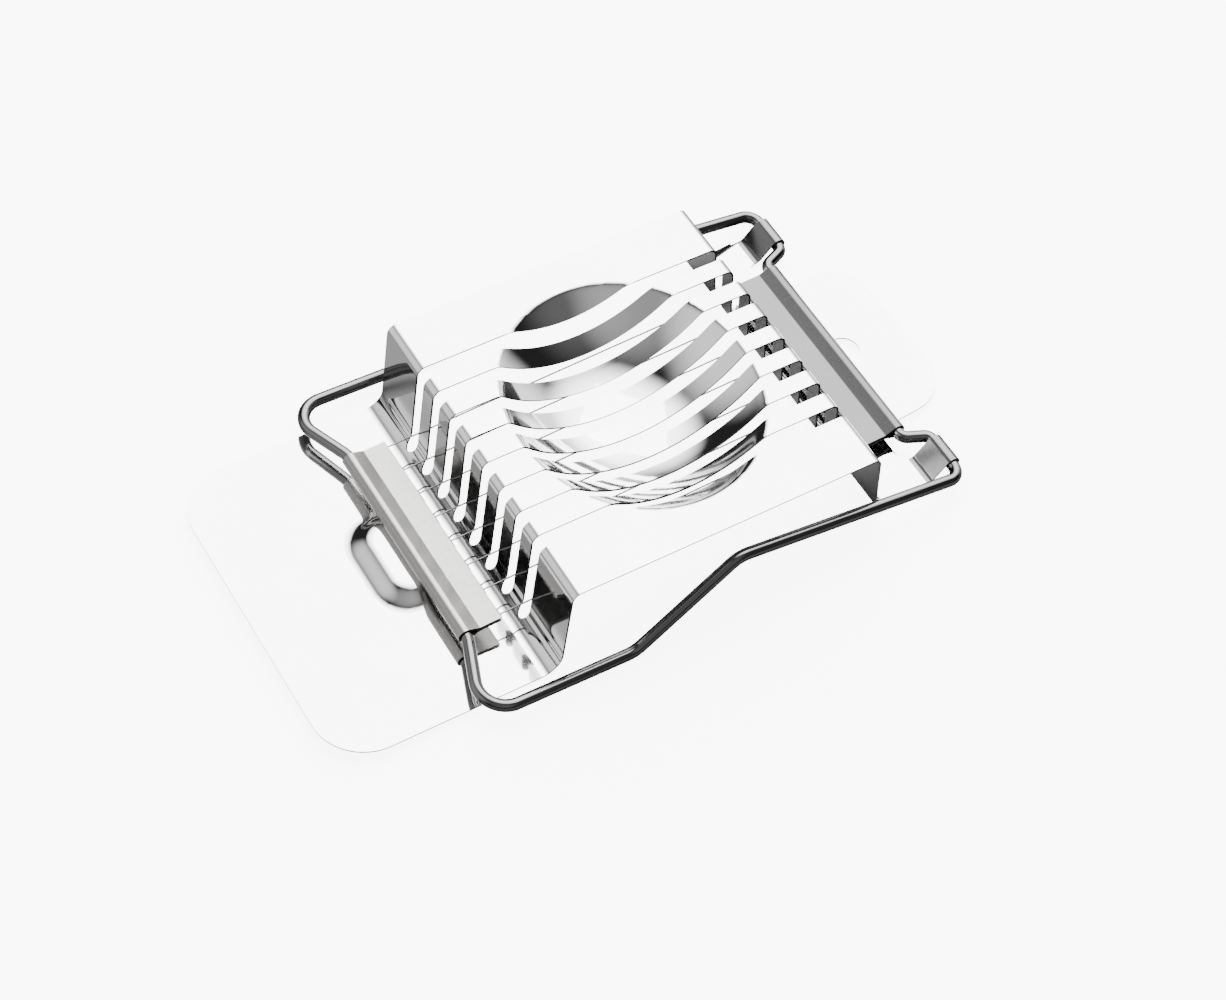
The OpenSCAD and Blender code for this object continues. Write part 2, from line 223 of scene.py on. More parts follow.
def path_object(name: str, path: np.ndarray) -> bpy.types.Object:
    """Make a curve object of one spline of straight segments.

    Args:
        name: the object's name.
        path: the points that it passes through, in metres.

    Returns:
        The curve's object.
    """
    curve = bpy.data.curves.new(name, "CURVE")
    curve.dimensions = "3D"
    spline = curve.splines.new("POLY")
    spline.points.add(len(path) - 1)
    for point, place in zip(spline.points, path):
        point.co = (*place, 1.0)
    obj = bpy.data.objects.new(name, curve)
    bpy.context.scene.collection.objects.link(obj)
    return obj


def swept(section: np.ndarray, stations: np.ndarray) -> np.ndarray:
    """Carry a section in X and Z straight across, along Y.

    Args:
        section: the section's X and Z, one point per row.
        stations: the places along Y.

    Returns:
        A grid of X, Y and Z, points by stations by 3.
    """
    shape = (len(section), len(stations))
    return np.stack([np.broadcast_to(section[:, :1], shape), np.broadcast_to(stations, shape),
                     np.broadcast_to(section[:, 1:], shape)], -1)


@dataclass
class Shell:
    """A sheet of even thickness, gathered patch by patch from its top face."""

    thickness: float
    tops: list = field(default_factory=list)
    normals: list = field(default_factory=list)
    quads: list = field(default_factory=list)
    finishes: list = field(default_factory=list)
    count: int = 0

    def add_patch(self, top: np.ndarray, normal: np.ndarray, keep: np.ndarray,
                  finish: int = 0) -> None:
        """Add a grid of cells.

        Args:
            top: places of the grid's points on the top face, rows by columns by 3.
            normal: the unit normals there.
            keep: which of the cells are sheet, rows - 1 by columns - 1.
            finish: number of the material that the patch takes.
        """
        rows, cols = top.shape[:2]
        number = self.count + np.arange(rows * cols).reshape(rows, cols)
        cells = np.stack([number[:-1, :-1], number[1:, :-1], number[1:, 1:], number[:-1, 1:]], -1)
        self.quads.append(cells[keep])
        self.finishes += [finish] * int(keep.sum())
        self.tops.append(top.reshape(-1, 3))
        self.normals.append(normal.reshape(-1, 3))
        self.count += rows * cols

    def closed(self) -> tuple[np.ndarray, list, list]:
        """Weld the patches, add the underside and close the cut edges.

        Returns:
            The vertices and the faces of the closed sheet, and each face's material number.
            Cut edges take material 1, the dark edge finish that paints their shade.
        """
        top = np.concatenate(self.tops)
        normal = np.concatenate(self.normals)
        quads = np.concatenate(self.quads)
        keys = np.round(top / WELD).astype(np.int64)
        _, first, where = np.unique(keys, axis=0, return_index=True, return_inverse=True)
        quads = where.reshape(-1)[quads]
        used, quads = np.unique(quads, return_inverse=True)
        quads = quads.reshape(-1, 4)
        top, normal = top[first][used], normal[first][used]
        faces, finishes = [], []
        for quad, finish in zip(quads.tolist(), self.finishes):
            ring = [v for i, v in enumerate(quad) if v != quad[i - 1]]
            if len(set(ring)) == len(ring) > 2:
                faces.append(ring)
                finishes.append(finish)
        directed = {(ring[i - 1], v) for ring in faces for i, v in enumerate(ring)}
        n = len(top)
        under = [[v + n for v in reversed(ring)] for ring in faces]
        sides = [[b, a, a + n, b + n] for a, b in sorted(directed) if (b, a) not in directed]
        verts = np.concatenate([top, top - normal * self.thickness])
        return verts, faces + under + sides, finishes * 2 + [1] * len(sides)


# --------------------------------------------------------------------------------------
# Finishes


def node_link(tree: bpy.types.NodeTree, out: bpy.types.NodeSocket, to: bpy.types.NodeSocket) -> None:
    """Join two sockets of a node tree."""
    tree.links.new(out, to)


def new_tree(name: str, kind: str, inputs: dict, outputs: dict) -> tuple:
    """Start a node group with its sockets.

    Args:
        name: the group's name.
        kind: the type of its tree.
        inputs: socket name to socket type, or to the default of a Float socket.
        outputs: socket name to socket type.

    Returns:
        The tree, its input node and its output node.
    """
    tree = bpy.data.node_groups.new(name, kind)
    for in_out, sockets in (("INPUT", inputs), ("OUTPUT", outputs)):
        for label, value in sockets.items():
            sort = value if isinstance(value, str) else "Float"
            socket = tree.interface.new_socket(label, in_out=in_out, socket_type=f"NodeSocket{sort}")
            if sort != value:
                socket.default_value = value
    return tree, tree.nodes.new("NodeGroupInput"), tree.nodes.new("NodeGroupOutput")


def scratch_group() -> bpy.types.NodeTree:
    """Build the group that gives fine directional marks of handling and polishing.

    Returns:
        A node group with inputs Scale, Stretch and Depth, and outputs Mask and Height.
    """
    group, inside, outside = new_tree(
        "Polishing marks", "ShaderNodeTree", {"Scale": 400.0, "Stretch": 0.05, "Depth": 1.0},
        {"Mask": "Float", "Height": "Float"})
    new = group.nodes.new
    place = new("ShaderNodeTexCoord")
    stretch = new("ShaderNodeCombineXYZ")
    stretch.inputs["Y"].default_value = 1.0
    stretch.inputs["Z"].default_value = 1.0
    node_link(group, inside.outputs["Stretch"], stretch.inputs["X"])
    scaled = new("ShaderNodeVectorMath")
    scaled.operation = "MULTIPLY"
    node_link(group, place.outputs["Object"], scaled.inputs[0])
    node_link(group, stretch.outputs["Vector"], scaled.inputs[1])
    fine = new("ShaderNodeTexNoise")
    fine.inputs["Detail"].default_value = 6.0
    fine.inputs["Roughness"].default_value = 0.62
    node_link(group, scaled.outputs["Vector"], fine.inputs["Vector"])
    node_link(group, inside.outputs["Scale"], fine.inputs["Scale"])
    contrast = new("ShaderNodeMapRange")
    contrast.inputs["From Min"].default_value = 0.35
    contrast.inputs["From Max"].default_value = 0.7
    node_link(group, fine.outputs["Fac"], contrast.inputs["Value"])
    depth = new("ShaderNodeMath")
    depth.operation = "MULTIPLY"
    node_link(group, contrast.outputs["Result"], depth.inputs[0])
    node_link(group, inside.outputs["Depth"], depth.inputs[1])
    node_link(group, contrast.outputs["Result"], outside.inputs["Mask"])
    node_link(group, depth.outputs["Value"], outside.inputs["Height"])
    return group


def wear_group() -> bpy.types.NodeTree:
    """Build the group that finds edges and breaks the wear along them up.

    Returns:
        A node group with inputs Low, High and Breakup, and output Mask.
    """
    group, inside, outside = new_tree(
        "Edge wear", "ShaderNodeTree", {"Low": 0.54, "High": 0.62, "Breakup": 300.0},
        {"Mask": "Float"})
    new = group.nodes.new
    geometry, place = new("ShaderNodeNewGeometry"), new("ShaderNodeTexCoord")
    edge = new("ShaderNodeMapRange")
    node_link(group, geometry.outputs["Pointiness"], edge.inputs["Value"])
    node_link(group, inside.outputs["Low"], edge.inputs["From Min"])
    node_link(group, inside.outputs["High"], edge.inputs["From Max"])
    patchy = new("ShaderNodeTexNoise")
    patchy.inputs["Detail"].default_value = 3.0
    node_link(group, place.outputs["Object"], patchy.inputs["Vector"])
    node_link(group, inside.outputs["Breakup"], patchy.inputs["Scale"])
    both = new("ShaderNodeMath")
    both.operation = "MULTIPLY"
    both.use_clamp = True
    node_link(group, edge.outputs["Result"], both.inputs[0])
    node_link(group, patchy.outputs["Fac"], both.inputs[1])
    node_link(group, both.outputs["Value"], outside.inputs["Mask"])
    return group


@dataclass(frozen=True)
class SteelFinish:
    """A steel surface: its colour, how it is polished, and the marks on it.

    Args:
        name: the material's name.
        light: base colour of the clean metal.
        dark: base colour in its duller patches.
        rough_low: roughness of the smoothest patches.
        rough_high: roughness of the dullest patches.
        mark_scale: how fine the polishing marks are.
        mark_stretch: how long the marks are along X, where 1 is round.
        bump: depth of the marks, in millimetres.
        grain_scale: how fine the speckled grain is.
        grain: strength of the speckled grain in the colour, from 0 to 1.
        anisotropic: how far the marks spread highlights to one side.
        patch_scale: how small the light and dull patches are.
        worn_tone: brightness of the metal along worn edges.
    """

    name: str
    light: tuple = (0.9, 0.9, 0.9)
    dark: tuple = (0.8, 0.8, 0.8)
    rough_low: float = 0.05
    rough_high: float = 0.1
    mark_scale: float = 400.0
    mark_stretch: float = 0.05
    bump: float = 0.001
    grain_scale: float = 5000.0
    grain: float = 0.0
    anisotropic: float = 0.0
    patch_scale: float = 45.0
    worn_tone: float = 0.97

    def build(self, marks: bpy.types.NodeTree, wear: bpy.types.NodeTree) -> bpy.types.Material:
        """Build the material.

        Args:
            marks: the group of polishing marks.
            wear: the group of edge wear.

        Returns:
            The material.
        """
        material = bpy.data.materials.new(self.name)
        material.use_nodes = True
        tree = material.node_tree
        new = tree.nodes.new
        steel = tree.nodes["Principled BSDF"]
        steel.inputs["Metallic"].default_value = 1.0
        steel.inputs["Anisotropic"].default_value = self.anisotropic
        scratches = new("ShaderNodeGroup")
        scratches.node_tree = marks
        scratches.inputs["Scale"].default_value = self.mark_scale
        scratches.inputs["Stretch"].default_value = self.mark_stretch
        edges = new("ShaderNodeGroup")
        edges.node_tree = wear
        place = new("ShaderNodeTexCoord")
        clouds = new("ShaderNodeTexNoise")
        clouds.inputs["Scale"].default_value = self.patch_scale
        clouds.inputs["Detail"].default_value = 4.0
        node_link(tree, place.outputs["Object"], clouds.inputs["Vector"])
        speckle = new("ShaderNodeTexNoise")
        speckle.inputs["Scale"].default_value = self.grain_scale
        speckle.inputs["Detail"].default_value = 2.0
        node_link(tree, place.outputs["Object"], speckle.inputs["Vector"])
        # colour: patches from light to dark, the grain over them, brighter worn edges
        tone = new("ShaderNodeMix")
        tone.data_type = "RGBA"
        tone.inputs["A"].default_value = (*self.light, 1.0)
        tone.inputs["B"].default_value = (*self.dark, 1.0)
        node_link(tree, clouds.outputs["Fac"], tone.inputs["Factor"])
        grained = new("ShaderNodeMix")
        grained.data_type = "RGBA"
        grained.blend_type = "OVERLAY"
        grained.inputs["Factor"].default_value = self.grain
        node_link(tree, tone.outputs["Result"], grained.inputs["A"])
        grey = new("ShaderNodeRGBToBW")
        node_link(tree, speckle.outputs["Color"], grey.inputs["Color"])
        node_link(tree, grey.outputs["Val"], grained.inputs["B"])
        worn = new("ShaderNodeMix")
        worn.data_type = "RGBA"
        worn.inputs["B"].default_value = (*[self.worn_tone] * 3, 1.0)
        node_link(tree, grained.outputs["Result"], worn.inputs["A"])
        node_link(tree, edges.outputs["Mask"], worn.inputs["Factor"])
        node_link(tree, worn.outputs["Result"], steel.inputs["Base Color"])
        # roughness: patches and marks
        mixed = new("ShaderNodeMath")
        mixed.operation = "MULTIPLY"
        node_link(tree, clouds.outputs["Fac"], mixed.inputs[0])
        node_link(tree, scratches.outputs["Mask"], mixed.inputs[1])
        rough = new("ShaderNodeMapRange")
        rough.inputs["From Max"].default_value = 0.6
        rough.inputs["To Min"].default_value = self.rough_low
        rough.inputs["To Max"].default_value = self.rough_high
        node_link(tree, mixed.outputs["Value"], rough.inputs["Value"])
        node_link(tree, rough.outputs["Result"], steel.inputs["Roughness"])
        # bump: marks
        bump = new("ShaderNodeBump")
        bump.inputs["Strength"].default_value = 0.6
        bump.inputs["Distance"].default_value = self.bump * MM
        node_link(tree, scratches.outputs["Height"], bump.inputs["Height"])
        node_link(tree, bump.outputs["Normal"], steel.inputs["Normal"])
        return material


MIRROR_SHEET = SteelFinish(
    "Mirror polished sheet", light=(0.93, 0.93, 0.93), dark=(0.87, 0.87, 0.875),
    rough_low=0.045, rough_high=0.085, mark_scale=300.0, mark_stretch=0.15, bump=0.0004,
)
# Cut edges painted near-black: painted shade for the thin sheet edges, which lie in shadow.
EDGE_PAINTED_SHADE = SteelFinish(
    "Sheet edge painted dark as shade", light=(0.07, 0.07, 0.07), dark=(0.04, 0.04, 0.04),
    rough_low=0.35, rough_high=0.5, mark_scale=1800.0, mark_stretch=1.0, bump=0.004,
)
BRIGHT_ROD = SteelFinish(
    "Bright drawn rod", light=(0.19, 0.19, 0.19), dark=(0.13, 0.13, 0.133),
    rough_low=0.12, rough_high=0.21, mark_scale=700.0, mark_stretch=0.1, bump=0.002,
)
# Front and rear clamp are one strip in two copies: the front copy is painted lighter, as painted light.
FRONT_STRIP_PAINTED_LIGHT = SteelFinish(
    "Front strip with painted light", light=(0.36, 0.355, 0.34), dark=(0.29, 0.285, 0.275),
    rough_low=0.28, rough_high=0.34, mark_scale=2600.0, mark_stretch=0.8, bump=0.0003,
    grain_scale=1500.0, grain=0.22,
)
# Rear clamp's copy of the same strip, painted darker as painted shade.
REAR_STRIP_PAINTED_SHADE = SteelFinish(
    "Rear strip with painted shade", light=(0.13, 0.13, 0.13), dark=(0.10, 0.10, 0.10),
    rough_low=0.24, rough_high=0.30, mark_scale=2600.0, mark_stretch=0.8, bump=0.0003,
    grain_scale=1500.0, grain=0.12,
)
# The knuckles are the base sheet itself; this darker copy of its finish is painted shade on their curled
# faces.
KNUCKLE_PAINTED_SHADE = SteelFinish(
    "Knuckle sheet with painted shade", light=(0.17, 0.17, 0.17), dark=(0.11, 0.11, 0.11),
    rough_low=0.17, rough_high=0.27, mark_scale=900.0, mark_stretch=3.0, bump=0.002,
    grain_scale=1500.0, grain=0.15,
)
DRAWN_WIRE = SteelFinish(
    "Drawn wire", light=(0.34, 0.34, 0.34), dark=(0.25, 0.25, 0.25),
    rough_low=0.15, rough_high=0.25, mark_scale=900.0, mark_stretch=0.05, bump=0.0005,
)


# --------------------------------------------------------------------------------------
# Sizes that several pieces share, in millimetres


@dataclass(frozen=True)
class Layout:
    """Side outline, hinge and bars of the slicer, before it leans back on its feet."""

    base_w: float = 86.0
    sheet_t: float = 0.5
    foot_r: float = 5.0
    shoulder_r: float = 2.6
    platform_h: float = 27.5
    platform_len: float = 81.5
    front_wall_lean: float = 3.3
    rear_wall_lean: float = 4.9
    front_tab_len: float = 55.8
    rear_foot_h: float = 4.9
    shelf_slope: float = 7.3
    shelf_len: float = 13.3
    rear_tab_len: float = 21.3
    front_bar_ahead: float = 16.0
    front_bar_z: float = 5.0
    pin_lift: float = 2.4
    pin_behind_root: float = 5.3
    root_behind_edge: float = 2.9
    rear_bar_ahead: float = 6.1
    clamp_len: float = 56.4
    wires: int = 8
    wire_pitch: float = 7.66

    @property
    def front_foot_x(self) -> float:
        """Foot of the front wall."""
        lean = math.tan(math.radians(self.front_wall_lean))
        return -self.platform_len / 2 - self.platform_h * lean

    @property
    def rear_foot_x(self) -> float:
        """Foot of the rear wall."""
        lean = math.tan(math.radians(self.rear_wall_lean))
        return self.platform_len / 2 + (self.platform_h - self.rear_foot_h) * lean

    @property
    def front_edge_x(self) -> float:
        """Front tab's edge."""
        return self.front_foot_x - self.front_tab_len

    @property
    def shelf_edge_x(self) -> float:
        """Rear shelf's edge beside the tab."""
        return self.rear_foot_x + self.shelf_len

    @property
    def rear_edge_x(self) -> float:
        """Rear tab's edge."""
        return self.shelf_edge_x + self.rear_tab_len

    def shelf_z(self, x: float) -> float:
        """Height of the rear shelf's top face."""
        return self.rear_foot_h + (x - self.rear_foot_x) * math.tan(math.radians(self.shelf_slope))

    @property
    def root(self) -> np.ndarray:
        """Root of a hinge knuckle."""
        x = self.shelf_edge_x + self.root_behind_edge
        return np.array([x, self.shelf_z(x)])

    @property
    def pin(self) -> np.ndarray:
        """Centre of the hinge."""
        x = self.root[0] + self.pin_behind_root
        return np.array([x, self.shelf_z(x) + self.pin_lift])

    @property
    def front_bar(self) -> np.ndarray:
        """Centre of the frame's front bar."""
        return np.array([self.front_foot_x - self.front_bar_ahead, self.front_bar_z])

    @property
    def rear_bar(self) -> np.ndarray:
        """Centre of the frame's rear bar."""
        return self.pin - [self.rear_bar_ahead, 0]

    @property
    def corners(self) -> list:
        """Corners of the sheet's side outline."""
        return [[self.front_edge_x, 0], [self.front_foot_x, 0],
                [-self.platform_len / 2, self.platform_h],
                [self.platform_len / 2, self.platform_h],
                [self.rear_foot_x, self.rear_foot_h],
                [self.rear_edge_x, self.shelf_z(self.rear_edge_x)]]

    def wire_y(self, i: int) -> float:
        """Place of wire or slot i across the slicer."""
        return (i - (self.wires - 1) / 2) * self.wire_pitch

    def lean(self) -> Matrix:
        """Work out how the slicer leans back on its two feet.

        Returns:
            The matrix from these millimetres to the frame's metres.
        """
        sharp = [np.array(c, float) for c in self.corners]
        feet = []
        for a, b, c in (sharp[0:3], sharp[3:6]):
            back, on = unit(a - b), unit(c - b)
            half_turn = (math.pi - math.acos(float(back @ on))) / 2
            feet.append(b + unit(back + on) * self.foot_r / math.cos(half_turn))
        gap = feet[1] - feet[0]
        angle = math.atan2(gap[1], gap[0])
        turn = Matrix.Rotation(angle, 4, "Y")
        low = turn @ Vector((feet[0][0], 0, feet[0][1]))
        ends = [turn @ Vector((c[0], 0, c[1])) for c in (sharp[0], sharp[5])]
        shift = Vector((-(ends[0].x + ends[1].x) / 2, 0, self.foot_r + self.sheet_t - low.z))
        return Matrix.Scale(MM, 4) @ Matrix.Translation(shift) @ turn


def placed(points: np.ndarray, matrix: Matrix) -> np.ndarray:
    """Return the points moved by a matrix."""
    m = np.array(matrix)
    return points @ m[:3, :3].T + m[:3, 3]


# --------------------------------------------------------------------------------------
# Base plate


@dataclass
class BasePlate:
    """The pressed base: front tab with its pad, walls, slotted cup, shelf, knuckles, rear tab."""

    layout: Layout
    front_corner_r: float = 13.0
    rear_tab_w: float = 47.2
    rear_corner_r: float = 10.0
    tab_fillet_r: float = 3.5
    notch_r: float = 1.6
    hole_r: float = 4.5
    hole_in: float = 5.2
    hole_frame: float = 6.0
    cup_len: float = 59.0
    cup_w: float = 67.0
    cup_depth: float = 14.0
    cup_rim: float = 0.55
    slot_w: float = 3.4
    slot_front_z: float = 1.0
    slot_rear_z: float = 6.6
    pad_len: float = 27.0
    pad_w: float = 16.4
    pad_side: float = 3.4
    pad_h: float = 2.87
    pad_ahead: float = 2.4
    pad_round: float = 0.27
    root_r: float = 2.0
    knuckle_w: float = 8.0
    knuckle_in: float = 0.6
    knuckle_inner_r: float = 1.58
    knuckle_sweep: float = 246.0
    edge_round: float = 0.06
    bend_step: float = 6.0
    corner_zone: float = 13.2
    pad_margin: float = 3.5
    cup_margin: float = 2.0
    front_slot_low: float = 0.35
    rear_slot_low: float = 5.75
    rear_flat: float = 25.0
    foot_margin: float = 5.5
    edge_pitch: float = 0.75
    side_sliver: float = 0.04
    least_pitch: float = 0.09

    # Number of the knuckles' material among the sheet's: a darker copy of the sheet's finish, which
    # paints their shade
    KNUCKLE_SHADE_FINISH = 2
    # Rows of the shelf's end, from the near side of the square round the hanging hole
    SHELF_ROWS = 8
    # Rows of the rear tab up to the far side of that square, and past it
    TAB_ROWS = (6, 3)
    # How many knots along the sheet reach the slots' front ends, and their rear ends
    SLOT_KNOTS = (7, 16)

    def __post_init__(self) -> None:
        """Work the side outline and the knuckles' places out."""
        lay = self.layout
        radii = [0, lay.foot_r, lay.shoulder_r, lay.shoulder_r, lay.foot_r, 0]
        step = math.radians(self.bend_step) / 3
        self.side = Outline(round_corners(lay.corners, radii, step))
        self.knuckle_y = lay.base_w / 2 - self.knuckle_in - self.knuckle_w / 2
        self.half_slot = self.slot_w / 2

    @property
    def hole_x(self) -> float:
        """Centre of the hanging hole."""
        return self.layout.shelf_edge_x + self.hole_in

    def on_shelf(self, x: np.ndarray) -> np.ndarray:
        """Turn an X on the rear shelf or tab into a length along the sheet.

        Args:
            x: places along the slicer.

        Returns:
            The length along the sheet at each.
        """
        slope_cos = math.cos(math.radians(self.layout.shelf_slope))
        return self.side.length[-1] - (self.layout.rear_edge_x - x) / slope_cos

    # --- outline of the flat ends ---

    def front_end(self, y: np.ndarray) -> np.ndarray:
        """Return where the front tab starts at y: its corners are rounded."""
        past = np.clip(np.abs(y) - (self.layout.base_w / 2 - self.front_corner_r), 0, None)
        return self.front_corner_r - np.sqrt(self.front_corner_r**2 - past**2)

    def tab_end(self, y: np.ndarray) -> np.ndarray:
        """Work out where the rear tab ends.

        Args:
            y: places across the sheet.

        Returns:
            The X of the tab's end at each.
        """
        past = np.clip(np.abs(y) - (self.rear_tab_w / 2 - self.rear_corner_r), 0, None)
        past = np.minimum(past, self.rear_corner_r)
        inset = self.rear_corner_r - np.sqrt(self.rear_corner_r**2 - past**2)
        under = self.layout.sheet_t * math.sin(math.radians(self.layout.shelf_slope))
        return self.layout.rear_edge_x - inset - under

    def shelf_end(self, y: np.ndarray) -> np.ndarray:
        """Work out where the shelf ends, with the fillets beside tab and knuckles.

        Args:
            y: places across the sheet.

        Returns:
            The X of the shelf's end at each.
        """
        half_tab = self.rear_tab_w / 2
        inner = self.knuckle_y - self.knuckle_w / 2
        outer = self.knuckle_y + self.knuckle_w / 2
        y = np.abs(y)
        rise = np.zeros_like(y)
        tab_side = self.tab_fillet_r - np.clip(y - half_tab, 0, self.tab_fillet_r)
        rise = np.where(tab_side > 0, self.tab_fillet_r
                        - np.sqrt(self.tab_fillet_r**2 - tab_side**2), rise)
        notch = np.clip(y - (inner - self.notch_r), 0, self.notch_r)
        near_notch = (notch > 0) & (y < outer + WELD)
        rise = np.where(near_notch, self.notch_r - np.sqrt(self.notch_r**2 - notch**2), rise)
        return self.layout.shelf_edge_x + rise

    # --- pressed shapes ---

    def cup_drop(self, x: np.ndarray, y: np.ndarray) -> np.ndarray:
        """Work out how far the cup drops the platform, with a soft rim.

        Args:
            x: places along the platform, from its middle.
            y: places across it.

        Returns:
            The change of height, zero or less.
        """
        half_w, half_len, depth = self.cup_w / 2, self.cup_len / 2, self.cup_depth
        section_r = (half_w**2 + depth**2) / (2 * depth)
        curve_r = (half_len**2 + depth**2) / (2 * depth)
        round_r = section_r - curve_r + np.sqrt(np.clip(curve_r**2 - x**2, 1e-6, None))
        surface = section_r - depth - np.sqrt(np.clip(round_r**2 - y**2, 0, None))
        return -self.cup_rim * np.logaddexp(0, -surface / self.cup_rim)

    def pad_rise(self, x: np.ndarray, y: np.ndarray) -> np.ndarray:
        """Work out how far the stop pad lifts the front tab, with soft edges.

        Args:
            x: places along the slicer.
            y: places across it.

        Returns:
            The change of height, zero or more.
        """
        half_w = self.pad_w / 2
        centre = self.layout.front_bar[0] - self.pad_ahead
        straight = self.pad_len / 2 - half_w
        distance = np.hypot(x - centre, np.clip(np.abs(y) - straight, 0, None))
        ramp = (half_w - distance) / self.pad_side
        k = self.pad_round
        soft = k * (np.logaddexp(0, ramp / k) - np.logaddexp(0, (ramp - 1) / k))
        return self.pad_h * soft

    def top_face(self, s: np.ndarray, y: np.ndarray) -> np.ndarray:
        """Find places on the sheet's top face.

        Args:
            s: lengths along the sheet.
            y: places across it.

        Returns:
            The places, with X, Y and Z on the last axis.
        """
        point, _ = self.side.at(s)
        x, z = point[..., 0], point[..., 1]
        on_platform = z > self.layout.platform_h - 1e-4
        on_tab = (x < self.layout.front_foot_x) & (np.abs(z) < 1e-4)
        z = z + np.where(on_platform, self.cup_drop(x, y), 0)
        z = z + np.where(on_tab, self.pad_rise(x, y), 0)
        return np.stack([x, y, z], -1)

    def add_surface(self, shell: Shell, s: np.ndarray, y: np.ndarray, keep: np.ndarray) -> None:
        """Add a patch of the main sheet, with its normals measured on the surface.

        Args:
            shell: the sheet so far.
            s: lengths along the sheet at the grid's points.
            y: places across it at the grid's points.
            keep: which of the cells are sheet.
        """
        tiny = 0.02
        along = self.top_face(s + tiny, y) - self.top_face(s - tiny, y)
        across = self.top_face(s, y + tiny) - self.top_face(s, y - tiny)
        normal = np.cross(along, across)
        normal /= np.linalg.norm(normal, axis=-1, keepdims=True)
        shell.add_patch(self.top_face(s, y), normal, keep)

    # --- grid ---

    def columns(self) -> np.ndarray:
        """Choose where the sheet's grid has lines.

        Returns:
            The places across the sheet, from one side to the other.
        """
        lay = self.layout
        half = lay.base_w / 2
        places = [0.0, half]
        slots = [lay.wire_y(i) for i in range(lay.wires)]
        for y in slots:
            places += [y + self.half_slot * math.cos(a) for a in np.linspace(0, math.pi, 8)]
        for a, b in zip(slots[:-1], slots[1:]):
            places += list(np.linspace(a + self.half_slot, b - self.half_slot, 6))
        quarter = np.linspace(0, math.pi / 2, 13)
        start = half - self.front_corner_r
        outer = slots[-1] + self.half_slot
        places += [s * (start + self.front_corner_r * math.sin(a)) for a in quarter for s in (-1, 1)]
        places += [s * y for y in np.arange(outer, half, self.edge_pitch) for s in (-1, 1)]
        start = self.rear_tab_w / 2 - self.rear_corner_r
        places += [s * (start + self.rear_corner_r * math.sin(a)) for a in quarter for s in (-1, 1)]
        start = self.rear_tab_w / 2 + self.tab_fillet_r
        places += [s * (start - self.tab_fillet_r * math.sin(a)) for a in quarter[::2] for s in (-1, 1)]
        inner = self.knuckle_y - self.knuckle_w / 2
        outer = self.knuckle_y + self.knuckle_w / 2
        start = inner - self.notch_r
        places += [s * (start + self.notch_r * math.sin(a)) for a in quarter[::2] for s in (-1, 1)]
        fixed = [self.hole_frame, self.rear_tab_w / 2, inner, outer, outer + self.side_sliver, half]
        places += [s * y for y in fixed for s in (-1, 1)]
        firm = {round(s * y, 6) for y in fixed for s in (-1, 1)}
        firm |= {round(y + s * self.half_slot, 6) for y in slots for s in (-1, 1)}
        kept: list = []
        for y in sorted(set(np.round(places, 6))):
            if kept and y - kept[-1] < self.least_pitch:
                if float(y) in firm and kept[-1] not in firm:
                    kept[-1] = float(y)
                elif float(y) in firm:
                    kept.append(float(y))
                continue
            kept.append(float(y))
        return np.array(kept)

    def slot_reach(self, y: np.ndarray) -> tuple[np.ndarray, np.ndarray]:
        """Tell which columns lie in a slot.

        Args:
            y: the columns' places across the sheet.

        Returns:
            A mask of the columns on or inside a slot, and how far the slot's round end
            reaches past its centre there.
        """
        centres = np.array([self.layout.wire_y(i) for i in range(self.layout.wires)])
        offset = np.abs(y[:, None] - centres[None, :]).min(axis=1)
        inside = offset <= self.half_slot + 1e-5
        reach = np.sqrt(np.clip(self.half_slot**2 - offset**2, 0, None))
        return inside, np.where(inside, reach, 0)

    def build(self, matrix: Matrix) -> bpy.types.Object:
        """Build the sheet as one closed mesh.

        Args:
            matrix: from the layout's millimetres to the frame.

        Returns:
            The base plate's object.
        """
        lay, side = self.layout, self.side
        shell = Shell(lay.sheet_t - SKIN)
        y = self.columns()
        in_slot, reach = self.slot_reach(y)
        total = side.length[-1]
        highest = [side.length_at(lay.platform_h - 1e-3, 1, 0, total / 2),
                   side.length_at(lay.platform_h - 1e-3, 1, total / 2, total - self.rear_flat)]
        bend = self.bend_lengths()
        pad_x = lay.front_bar[0] - self.pad_ahead - lay.front_edge_x
        pad_zone = self.pad_w / 2 + self.pad_margin
        even = np.ones_like(y)
        front_centre = self.slot_front_z + self.half_slot
        rear_centre = self.slot_rear_z + self.half_slot
        front_low = side.length_at(self.front_slot_low, 1, bend[0][0], highest[0])
        front_end = side.length_at(front_centre - reach, 1, bend[0][0], highest[0])
        past_foot = bend[3][0] + self.foot_margin
        rear_low = side.length_at(self.rear_slot_low, 1, highest[1], past_foot)
        rear_end = side.length_at(rear_centre - reach, 1, highest[1], past_foot)
        cup_zone = self.cup_len / 2 + self.cup_margin
        middle = (highest[0] + highest[1]) / 2
